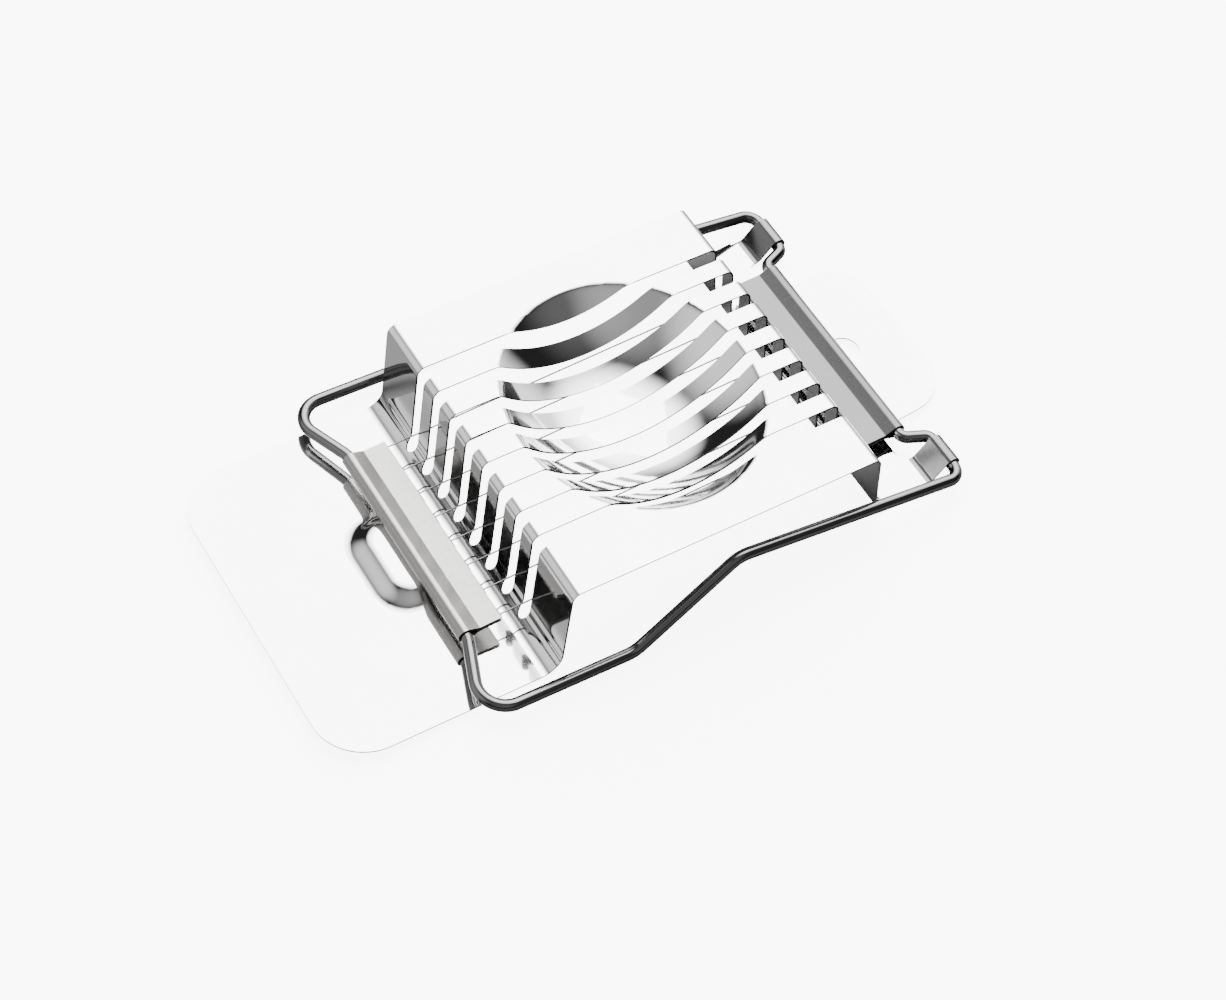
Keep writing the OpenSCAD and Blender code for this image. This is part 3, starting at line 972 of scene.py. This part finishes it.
        # (length along the sheet in each column, number of rows up to there)
        knots = [
            (self.front_end(y), 0), (self.corner_zone * even, 2),
            ((pad_x - pad_zone) * even, 2), ((pad_x + pad_zone) * even, 44),
            (bend[0][0] * even, 2), (front_low * even, 3),
            (front_end, 6), (bend[0][1] * even, 8), (bend[1][0] * even, 4),
            (bend[1][1] * even, 12), ((middle - cup_zone) * even, 3),
            ((middle + cup_zone) * even, 88), (bend[2][0] * even, 3), (bend[2][1] * even, 12),
            (bend[3][0] * even, 4), (rear_end, 8), (rear_low * even, 6),
            (bend[3][1] * even, 6), (self.on_shelf(self.hole_x - self.hole_frame) * even, 3),
            (self.on_shelf(self.shelf_end(y)), self.SHELF_ROWS),
        ]
        first_slot_row, last_slot_row = (sum(n for _, n in knots[:k]) for k in self.SLOT_KNOTS)
        rows = [knots[0][0]]
        for (start, _), (end, n) in zip(knots, knots[1:]):
            rows += [start + (end - start) * k / n for k in range(1, n + 1)]
        s = np.array(rows)
        grid_y = np.broadcast_to(y, s.shape)
        keep = np.ones((s.shape[0] - 1, s.shape[1] - 1), bool)
        slot_cell = in_slot[:-1] & in_slot[1:] & ((reach[:-1] > 1e-3) | (reach[1:] > 1e-3))
        keep[first_slot_row:last_slot_row, slot_cell] = False
        under_hole = (np.abs(y[:-1] + y[1:]) / 2) < self.hole_frame
        keep[-self.SHELF_ROWS:, under_hole] = False
        self.add_surface(shell, s, grid_y, keep)
        self.add_rear_tab(shell, y)
        self.add_hole(shell, y, s[-self.SHELF_ROWS - 1:])
        self.add_knuckles(shell, y)
        verts, faces, finishes = shell.closed()
        return mesh_object("base_plate_sheet", placed(verts, matrix), faces,
                           self.edge_round * MM, finishes)

    def bend_lengths(self) -> list:
        """Measure where each of the four bends starts and ends along the sheet.

        Returns:
            The start and the end of each bend, from the front.
        """
        lay = self.layout
        corners = [np.array(c, float) for c in lay.corners]
        radii = [lay.foot_r, lay.shoulder_r, lay.shoulder_r, lay.foot_r]
        bends, here, last_reach = [], 0.0, 0.0
        for a, b, c, r in zip(corners, corners[1:], corners[2:], radii):
            turn = math.pi - math.acos(float(unit(a - b) @ unit(c - b)))
            reach = r * math.tan(turn / 2)
            start = here + np.linalg.norm(b - a) - reach - last_reach
            bends.append((start, start + r * turn))
            here, last_reach = start + r * turn, reach
        return bends

    def tab_rows(self, y: np.ndarray) -> np.ndarray:
        """Work out the rows of the rear tab.

        Args:
            y: the columns' places across the sheet.

        Returns:
            The lengths along the sheet, rows by columns.
        """
        beside, past = self.TAB_ROWS
        start = self.on_shelf(np.full_like(y, self.layout.shelf_edge_x + self.tab_fillet_r))
        line = self.on_shelf(np.full_like(y, self.hole_x + self.hole_frame))
        end = self.on_shelf(self.tab_end(y))
        rows = [start + (line - start) * k / beside for k in range(beside + 1)]
        rows += [line + (end - line) * k / past for k in range(1, past + 1)]
        return np.array(rows)

    def add_rear_tab(self, shell: Shell, y: np.ndarray) -> None:
        """Add the tab behind the shelf, except round the hanging hole.

        Args:
            shell: the sheet so far.
            y: the columns' places across the sheet.
        """
        mine = y[np.abs(y) <= self.rear_tab_w / 2 + 1e-5]
        s = self.tab_rows(mine)
        keep = np.ones((s.shape[0] - 1, s.shape[1] - 1), bool)
        keep[:self.TAB_ROWS[0], (np.abs(mine[:-1] + mine[1:]) / 2) < self.hole_frame] = False
        self.add_surface(shell, s, np.broadcast_to(mine, s.shape), keep)

    def add_hole(self, shell: Shell, y: np.ndarray, band: np.ndarray) -> None:
        """Fill the square round the hanging hole with rings that end on its edge.

        Args:
            shell: the sheet so far.
            y: the columns' places across the sheet.
            band: the lengths of the shelf's last rows, rows by columns.
        """
        inside = np.abs(y) <= self.hole_frame + 1e-5
        mine = y[inside]
        side_rows = np.concatenate([band[:, inside][:, 0],
                                    self.tab_rows(mine)[1:self.TAB_ROWS[0] + 1, 0]])
        low, high = side_rows[0], side_rows[-1]
        ring = [(low, v) for v in mine[:-1]] + [(v, mine[-1]) for v in side_rows[:-1]]
        ring += [(high, v) for v in mine[:0:-1]] + [(v, mine[0]) for v in side_rows[:0:-1]]
        ring = np.array(ring + ring[:1])
        centre = np.array([self.on_shelf(self.hole_x), 0.0])
        out = ring - centre
        rim = centre + out / np.linalg.norm(out, axis=1, keepdims=True) * self.hole_r
        steps = np.linspace(0, 1, 6)[:, None, None]
        grid = ring[None] * (1 - steps) + rim[None] * steps
        keep = np.ones((grid.shape[0] - 1, grid.shape[1] - 1), bool)
        self.add_surface(shell, grid[..., 0], grid[..., 1], keep)

    def knuckle_outline(self) -> Outline:
        """Draw the knuckle's side outline, from the notch on, along its top face.

        Returns:
            The outline.
        """
        lay = self.layout
        root, pin = lay.root, lay.pin
        outer_r = self.knuckle_inner_r + lay.sheet_t
        to_pin = pin - root
        ramp = math.atan2(to_pin[1], to_pin[0]) + math.asin(outer_r / np.linalg.norm(to_pin))
        ramp_end = pin + outer_r * np.array([-math.sin(ramp), math.cos(ramp)])
        start_x = lay.shelf_edge_x + self.notch_r
        start = np.array([start_x, lay.shelf_z(start_x)])
        path = round_corners([start, root, ramp_end], [0, self.root_r, 0], math.radians(5))
        sweep = math.radians(self.knuckle_sweep)
        angles = math.pi / 2 + ramp - np.linspace(0, sweep, 49)[1:]
        ring = pin + outer_r * np.stack([np.cos(angles), np.sin(angles)], -1)
        return Outline(np.concatenate([path, ring]))

    def add_knuckles(self, shell: Shell, y: np.ndarray) -> None:
        """Add the two curled knuckles that hold the rod.

        Args:
            shell: the sheet so far.
            y: the columns' places across the sheet.
        """
        outline = self.knuckle_outline()
        half = self.knuckle_w / 2
        for s in (-1, 1):
            mine = y[np.abs(y - s * self.knuckle_y) <= half + 1e-5]
            point, normal = outline.at(outline.length)
            keep = np.ones((len(point) - 1, len(mine) - 1), bool)
            # The knuckles take the darker copy of the sheet's finish, which paints their shade.
            shell.add_patch(swept(point, mine), swept(normal, np.zeros(len(mine))), keep,
                            self.KNUCKLE_SHADE_FINISH)


# --------------------------------------------------------------------------------------
# Cutting frame


@dataclass
class FrameRod:
    """The bent rod, as a tube that Geometry Nodes sweep along its path."""

    layout: Layout
    rod_d: float = 3.0
    front_loop_y: float = 48.3
    corner_ahead: float = 7.3
    corner_z: float = 3.7
    corner_r: float = 6.5
    step_low: tuple = (-26.0, 2.5)
    step_high: tuple = (1.2, 19.2)
    step_r: float = 7.0
    rear_side_out: float = 3.3
    rear_corner_r: float = 3.6
    front_bend_r: float = 8.0
    clamp_clear: float = 0.8
    knuckle_inner_y: float = 34.4
    knuckle_clear: float = 0.2
    jog_r: float = 2.2
    jog_turn: float = 67.0
    end_gap: float = 1.0
    sides: int = 32

    def half_path(self) -> np.ndarray:
        """Draw the rod's centre line on one side of the slicer.

        Returns:
            Its points, from the front bar's middle to the rod's end behind.
        """
        lay = self.layout
        front, rear, pin = lay.front_bar, lay.rear_bar, lay.pin
        side_y = lay.base_w / 2 + self.rear_side_out
        turn = math.radians(self.jog_turn)
        jog_out = self.knuckle_inner_y - self.knuckle_clear - self.jog_r * math.tan(turn / 2)
        jog_in = jog_out - lay.rear_bar_ahead / math.tan(turn)
        corners = [
            (front[0], 0, front[1]),
            (front[0], lay.clamp_len / 2 + self.clamp_clear, front[1]),
            (front[0] - self.corner_ahead, self.front_loop_y, self.corner_z),
            (self.step_low[0], self.front_loop_y, self.step_low[1]),
            (self.step_high[0], side_y, self.step_high[1]),
            (pin[0], side_y, pin[1]),
            (pin[0], jog_out, pin[1]),
            (rear[0], jog_in, rear[1]),
            (rear[0], self.end_gap / 2, rear[1]),
        ]
        radii = [0, self.front_bend_r, self.corner_r, self.step_r, self.step_r,
                 self.rear_corner_r, self.jog_r, self.jog_r, 0]
        return round_corners(corners, radii, math.radians(5))

    def build(self, matrix: Matrix, material: bpy.types.Material) -> bpy.types.Object:
        """Sweep the rod.

        Args:
            matrix: from the layout's millimetres to the frame.
            material: the rod's finish.

        Returns:
            The rod's object.
        """
        half = self.half_path()
        other = half[:0:-1] * [1, -1, 1]
        path = placed(np.concatenate([other, half]), matrix)
        source = path_object("Rod path", path)
        add_tree(source, tube_tree(), {
            "Radius": (self.rod_d / 2 - SKIN) * MM, "Sides": self.sides, "Finish": material})
        return evaluated_mesh("frame_rod_tube", source)


def tube_tree() -> bpy.types.NodeTree:
    """Build the tree that sweeps a round bar along a curve.

    Returns:
        A Geometry Nodes tree with inputs Radius, Sides and Finish.
    """
    tree, inside, outside = new_tree(
        "Round bar", "GeometryNodeTree",
        {"Geometry": "Geometry", "Radius": "Float", "Sides": "Int", "Finish": "Material"},
        {"Geometry": "Geometry"})
    close_tree(tree, inside, outside, swept_bar(tree, inside))
    return tree


def swept_bar(tree: bpy.types.NodeTree, inside: bpy.types.Node) -> bpy.types.NodeSocket:
    """Add the nodes that sweep a round bar along the tree's curve.

    Args:
        tree: the tree.
        inside: its input node, with Geometry, Radius and Sides.

    Returns:
        The socket that gives the smooth bar.
    """
    new = tree.nodes.new
    ring, sweep = new("GeometryNodeCurvePrimitiveCircle"), new("GeometryNodeCurveToMesh")
    smooth = new("GeometryNodeSetShadeSmooth")
    sweep.inputs["Fill Caps"].default_value = True
    node_link(tree, inside.outputs["Radius"], ring.inputs["Radius"])
    node_link(tree, inside.outputs["Sides"], ring.inputs["Resolution"])
    node_link(tree, inside.outputs["Geometry"], sweep.inputs["Curve"])
    node_link(tree, ring.outputs["Curve"], sweep.inputs["Profile Curve"])
    node_link(tree, sweep.outputs["Mesh"], smooth.inputs["Geometry"])
    return smooth.outputs["Geometry"]


def close_tree(tree: bpy.types.NodeTree, inside: bpy.types.Node, outside: bpy.types.Node,
               shape: bpy.types.NodeSocket) -> None:
    """End a tree in Realize Instances and Set Material.

    Args:
        tree: the tree.
        inside: its input node, with Finish.
        outside: its output node, with Geometry.
        shape: the socket that gives the finished shape.
    """
    real = tree.nodes.new("GeometryNodeRealizeInstances")
    finish = tree.nodes.new("GeometryNodeSetMaterial")
    node_link(tree, shape, real.inputs["Geometry"])
    node_link(tree, real.outputs["Geometry"], finish.inputs["Geometry"])
    node_link(tree, inside.outputs["Finish"], finish.inputs["Material"])
    node_link(tree, finish.outputs["Geometry"], outside.inputs["Geometry"])


def add_tree(obj: bpy.types.Object, tree: bpy.types.NodeTree, values: dict) -> None:
    """Put a Geometry Nodes tree on an object.

    Args:
        obj: the object.
        tree: the tree.
        values: input name to value, set by each socket's identifier.
    """
    modifier = obj.modifiers.new(tree.name, "NODES")
    modifier.node_group = tree
    for item in tree.interface.items_tree:
        if item.item_type == "SOCKET" and item.in_out == "INPUT" and item.name in values:
            modifier[item.identifier] = values[item.name]


@dataclass
class WireClamp:
    """A strip folded round a bar, with its two leaves pressed together on the wires."""

    layout: Layout
    reach: float = 9.1
    strip_t: float = 0.5
    bar_r: float = 1.53
    wire_r: float = 0.2
    neck_x: float = 3.5
    neck_r: float = 0.9
    edge_round: float = 0.08
    stations: int = 33

    def profile(self) -> np.ndarray:
        """Draw the outer face of the folded strip, from leaf edge to leaf edge.

        Returns:
            Its points, with the bar's centre at zero.
        """
        outer_r = self.bar_r + self.strip_t
        leaf_z = self.wire_r + self.strip_t
        from_axis = math.hypot(self.neck_x, leaf_z)
        touch = math.atan2(leaf_z, self.neck_x) + math.acos(outer_r / from_axis)
        start = outer_r * np.array([math.cos(touch), math.sin(touch)])
        neck = round_corners([[self.reach, leaf_z], [self.neck_x, leaf_z], start],
                             [0, self.neck_r, 0], math.radians(7))
        leaf = np.linspace(neck[0], neck[1], 7)[:-1]
        angles = np.linspace(touch, 2 * math.pi - touch, 61)[1:-1]
        wrap = outer_r * np.stack([np.cos(angles), np.sin(angles)], -1)
        upper = np.concatenate([leaf, neck[1:]])
        lower = upper[::-1] * [1, -1]
        return np.concatenate([upper, wrap, lower])

    def build(self, name: str, origin: np.ndarray, direction: float, matrix: Matrix) -> bpy.types.Object:
        """Build the clamp.

        Args:
            name: the piece's name.
            origin: centre of the bar that it wraps, in the layout's X and Z.
            direction: 1 where the leaves point along the wires' line, -1 against it.
            matrix: from the layout's millimetres to the frame.

        Returns:
            The clamp's object.
        """
        lay = self.layout
        line = lay.rear_bar - lay.front_bar
        along = unit(line) * direction
        up = np.array([-unit(line)[1], unit(line)[0]])
        outline = Outline(self.profile())
        points, normals = outline.at(outline.length)
        inner = points + normals * self.strip_t
        stations = np.linspace(-lay.clamp_len / 2, lay.clamp_len / 2, self.stations)
        top, inside = (swept(origin + face[:, :1] * along + face[:, 1:] * up, stations)
                       for face in (points, inner))
        normal = (top - inside) / self.strip_t
        shell = Shell(self.strip_t)
        if direction > 0:
            top, normal = top[:, ::-1], normal[:, ::-1]
        shell.add_patch(top, normal, np.ones((top.shape[0] - 1, top.shape[1] - 1), bool))
        verts, faces, finishes = shell.closed()
        return mesh_object(name, placed(verts, matrix), faces, self.edge_round * MM,
                           finishes)


@dataclass
class Wires:
    """The cutting wires, as one wire that Geometry Nodes repeat across the frame."""

    layout: Layout
    wire_d: float = 0.4
    reach: float = 9.1
    grip: float = 6.0
    sides: int = 12

    def build(self, matrix: Matrix, material: bpy.types.Material) -> bpy.types.Object:
        """Build the row of wires.

        Args:
            matrix: from the layout's millimetres to the frame.
            material: the wires' finish.

        Returns:
            The wires' object.
        """
        lay = self.layout
        line = lay.rear_bar - lay.front_bar
        along = unit(line)
        first = lay.front_bar + along * (self.reach - self.grip)
        last = lay.rear_bar - along * (self.reach - self.grip)
        stations = np.linspace(0, 1, 25)[:, None]
        flat = first * (1 - stations) + last * stations
        edge_y = lay.wire_y(0)
        path = placed(np.stack([flat[:, 0], np.full(len(flat), edge_y), flat[:, 1]], -1), matrix)
        source = path_object("Wire path", path)
        add_tree(source, wire_row_tree(), {
            "Radius": self.wire_d / 2 * MM, "Sides": self.sides, "Count": lay.wires,
            "Pitch": lay.wire_pitch * MM, "Finish": material})
        return evaluated_mesh("cutting_wires", source)


def wire_row_tree() -> bpy.types.NodeTree:
    """Build the tree that sweeps one wire and repeats it across the frame.

    Returns:
        A Geometry Nodes tree with inputs Radius, Sides, Count, Pitch and Finish.
    """
    tree, inside, outside = new_tree(
        "Row of wires", "GeometryNodeTree",
        {"Geometry": "Geometry", "Radius": "Float", "Sides": "Int", "Count": "Int",
         "Pitch": "Float", "Finish": "Material"},
        {"Geometry": "Geometry"})
    new = tree.nodes.new
    step, row = new("ShaderNodeCombineXYZ"), new("GeometryNodeMeshLine")
    copies = new("GeometryNodeInstanceOnPoints")
    node_link(tree, inside.outputs["Pitch"], step.inputs["Y"])
    node_link(tree, inside.outputs["Count"], row.inputs["Count"])
    node_link(tree, step.outputs["Vector"], row.inputs["Offset"])
    node_link(tree, row.outputs["Mesh"], copies.inputs["Points"])
    node_link(tree, swept_bar(tree, inside), copies.inputs["Instance"])
    close_tree(tree, inside, outside, copies.outputs["Instances"])
    return tree


# --------------------------------------------------------------------------------------
# Studio


@dataclass(frozen=True)
class Panel:
    """A soft bright patch of the surroundings.

    Args:
        towards: direction of its middle.
        inner: angle from the middle within which it is fully bright, in degrees.
        outer: angle at which it has faded out.
        strength: its brightness.
    """

    towards: tuple
    inner: float
    outer: float
    strength: float


@dataclass
class Studio:
    """Pale floor, soft lights and the camera."""

    azimuth: float = -31.92
    elevation: float = 55.29
    roll: float = 1.71
    distance: float = 0.6662
    target: tuple = (0.0018, -0.0090, 0.0)
    lens: float = 83.37
    floor_size: float = 6.0
    floor_glow: float = 7.5
    floor_in_metal: float = 0.18
    walls: float = 0.02
    panels: tuple = (
        Panel((0.42, 0.46, 0.78), 19, 43, 6.5),
        Panel((-0.80, 0.35, 0.42), 12, 48, 1.1),
        Panel((0.85, 0.45, 0.12), 10, 38, 2.0),
        Panel((0.20, -0.80, 0.55), 15, 50, 0.12),
        Panel((-0.35, -0.55, 0.76), 15, 45, 0.35),
    )

    def camera(self) -> None:
        """Make the camera and look through it."""
        a, e = math.radians(self.azimuth), math.radians(self.elevation)
        back = Vector((math.sin(a) * math.cos(e), -math.cos(a) * math.cos(e), math.sin(e)))
        data = bpy.data.cameras.new("Camera")
        data.lens = self.lens
        data.sensor_width = 36.0
        data.clip_start, data.clip_end = 0.01, 50.0
        camera = bpy.data.objects.new("Camera", data)
        bpy.context.scene.collection.objects.link(camera)
        camera.location = Vector(self.target) + back * self.distance
        look = (-back).to_track_quat("-Z", "Y").to_matrix()
        turned = look @ Matrix.Rotation(math.radians(self.roll), 3, "Z")
        camera.rotation_euler = turned.to_euler()
        bpy.context.scene.camera = camera

    def floor(self) -> None:
        """Lay the pale floor, which the eye sees white and polished metal sees darker."""
        half = self.floor_size / 2
        verts = np.array([(-half, -half, 0), (half, -half, 0), (half, half, 0), (-half, half, 0)])
        floor = mesh_object("studio_floor", verts, [[0, 1, 2, 3]])
        material = bpy.data.materials.new("Studio floor")
        material.use_nodes = True
        tree = material.node_tree
        new = tree.nodes.new
        tree.nodes.remove(tree.nodes["Principled BSDF"])
        grain = new("ShaderNodeTexNoise")
        grain.inputs["Scale"].default_value = 60.0
        place = new("ShaderNodeTexCoord")
        node_link(tree, place.outputs["Object"], grain.inputs["Vector"])
        tone = new("ShaderNodeMix")
        tone.data_type = "RGBA"
        tone.inputs["A"].default_value = (0.89, 0.89, 0.89, 1.0)
        tone.inputs["B"].default_value = (0.91, 0.91, 0.91, 1.0)
        node_link(tree, grain.outputs["Fac"], tone.inputs["Factor"])
        paper, dim = new("ShaderNodeBsdfDiffuse"), new("ShaderNodeBsdfDiffuse")
        glow, seen = new("ShaderNodeEmission"), new("ShaderNodeAddShader")
        node_link(tree, tone.outputs["Result"], paper.inputs["Color"])
        glow.inputs["Strength"].default_value = self.floor_glow
        node_link(tree, paper.outputs["BSDF"], seen.inputs[0])
        node_link(tree, glow.outputs["Emission"], seen.inputs[1])
        dim.inputs["Color"].default_value = (*[self.floor_in_metal] * 3, 1.0)
        ray, both = new("ShaderNodeLightPath"), new("ShaderNodeMixShader")
        node_link(tree, ray.outputs["Is Camera Ray"], both.inputs["Fac"])
        node_link(tree, dim.outputs["BSDF"], both.inputs[1])
        node_link(tree, seen.outputs["Shader"], both.inputs[2])
        node_link(tree, both.outputs["Shader"], tree.nodes["Material Output"].inputs["Surface"])
        floor.data.materials.append(material)

    def area_light(self, name: str, place: tuple, size: tuple, power: float) -> None:
        """Hang a soft light that faces the object.

        Args:
            name: the light's name.
            place: where it hangs, in metres.
            size: its width and height, in metres.
            power: its power, in watts.
        """
        data = bpy.data.lights.new(name, "AREA")
        data.shape = "RECTANGLE"
        data.size, data.size_y = size
        data.energy = power
        light = bpy.data.objects.new(name, data)
        bpy.context.scene.collection.objects.link(light)
        light.location = place
        light.rotation_euler = (-Vector(place)).to_track_quat("-Z", "Y").to_euler()

    def world(self) -> None:
        """Paint the surroundings as soft panels on dark walls."""
        world = bpy.data.worlds.new("Studio")
        bpy.context.scene.world = world
        world.use_nodes = True
        tree = world.node_tree
        new = tree.nodes.new
        place = new("ShaderNodeTexCoord")
        total = new("ShaderNodeValue")
        total.outputs["Value"].default_value = self.walls
        level = total.outputs["Value"]
        for panel in self.panels:
            facing = new("ShaderNodeVectorMath")
            facing.operation = "DOT_PRODUCT"
            facing.inputs[1].default_value = tuple(unit(np.array(panel.towards)))
            node_link(tree, place.outputs["Generated"], facing.inputs[0])
            glow = new("ShaderNodeMapRange")
            glow.interpolation_type = "SMOOTHSTEP"
            glow.inputs["From Min"].default_value = math.cos(math.radians(panel.outer))
            glow.inputs["From Max"].default_value = math.cos(math.radians(panel.inner))
            glow.inputs["To Max"].default_value = panel.strength
            node_link(tree, facing.outputs["Value"], glow.inputs["Value"])
            add = new("ShaderNodeMath")
            node_link(tree, level, add.inputs[0])
            node_link(tree, glow.outputs["Result"], add.inputs[1])
            level = add.outputs["Value"]
        node_link(tree, level, tree.nodes["Background"].inputs["Strength"])
        tree.nodes["Background"].inputs["Color"].default_value = (1.0, 1.0, 1.0, 1.0)

    def build(self) -> None:
        """Set the studio up."""
        self.camera()
        self.floor()
        self.world()
        self.area_light("Softbox", (0.5, 0.55, 0.95), (0.9, 0.9), 8.0)


# --------------------------------------------------------------------------------------
# Assembly


def place_piece(piece: bpy.types.Object, body: Body, slot: Slot, finishes: list,
                *nodes: str) -> None:
    """Dress a piece, put it on its body and let it stand for its CAD nodes.

    Args:
        piece: the finished object.
        body: the rigid body that it rides on.
        slot: the record's material slot for the piece; not used.
        finishes: its materials: its own, that of its cut edges with their painted shade, and any other.
        nodes: the CAD nodes that it replaces.
    """
    if not piece.data.materials:
        for finish in finishes:
            piece.data.materials.append(finish)
    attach(piece, body.value)
    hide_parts(*nodes)
    LOG.info("%s: %d faces on %s", piece.name, len(piece.data.polygons), body.value)


def main() -> None:
    """Build the studio and every piece."""
    logging.basicConfig(level=logging.INFO, format="%(name)s: %(message)s")
    Studio().build()
    marks, wear = scratch_group(), wear_group()
    # The edge finish is painted shade near-black; the knuckles' finish is a darker copy of the sheet's,
    # painted shade; the strip's two copies paint the front clamp lit and the rear in shade.
    sheet, edge, knuckle, bright, strip_painted_light, strip_painted_shade, drawn = (
        finish.build(marks, wear)
        for finish in (MIRROR_SHEET, EDGE_PAINTED_SHADE, KNUCKLE_PAINTED_SHADE, BRIGHT_ROD, FRONT_STRIP_PAINTED_LIGHT,
                       REAR_STRIP_PAINTED_SHADE, DRAWN_WIRE)
    )
    layout = Layout()
    matrix = layout.lean()
    base = BasePlate(layout).build(matrix)
    place_piece(base, Body.BASE, Slot.SHEET, [sheet, edge, knuckle], "base_plate")
    rod = FrameRod(layout).build(matrix, bright)
    place_piece(rod, Body.CUTTING_FRAME, Slot.ROD, [bright], "frame_rod")
    clamp = WireClamp(layout)
    # Both clamps are one strip: the front takes the copy with painted light, the rear the copy with
    # painted shade.
    front = clamp.build("front_clamp_strip", layout.front_bar, 1, matrix)
    place_piece(front, Body.CUTTING_FRAME, Slot.STRIP, [strip_painted_light, edge], "front_clamp")
    rear = clamp.build("rear_clamp_strip", layout.rear_bar, -1, matrix)
    place_piece(rear, Body.CUTTING_FRAME, Slot.STRIP, [strip_painted_shade, edge], "rear_clamp")
    wires = Wires(layout).build(matrix, drawn)
    place_piece(wires, Body.CUTTING_FRAME, Slot.WIRE, [drawn],
                *[f"wire_{i + 1}" for i in range(layout.wires)])


if __name__ == "__main__":
    main()
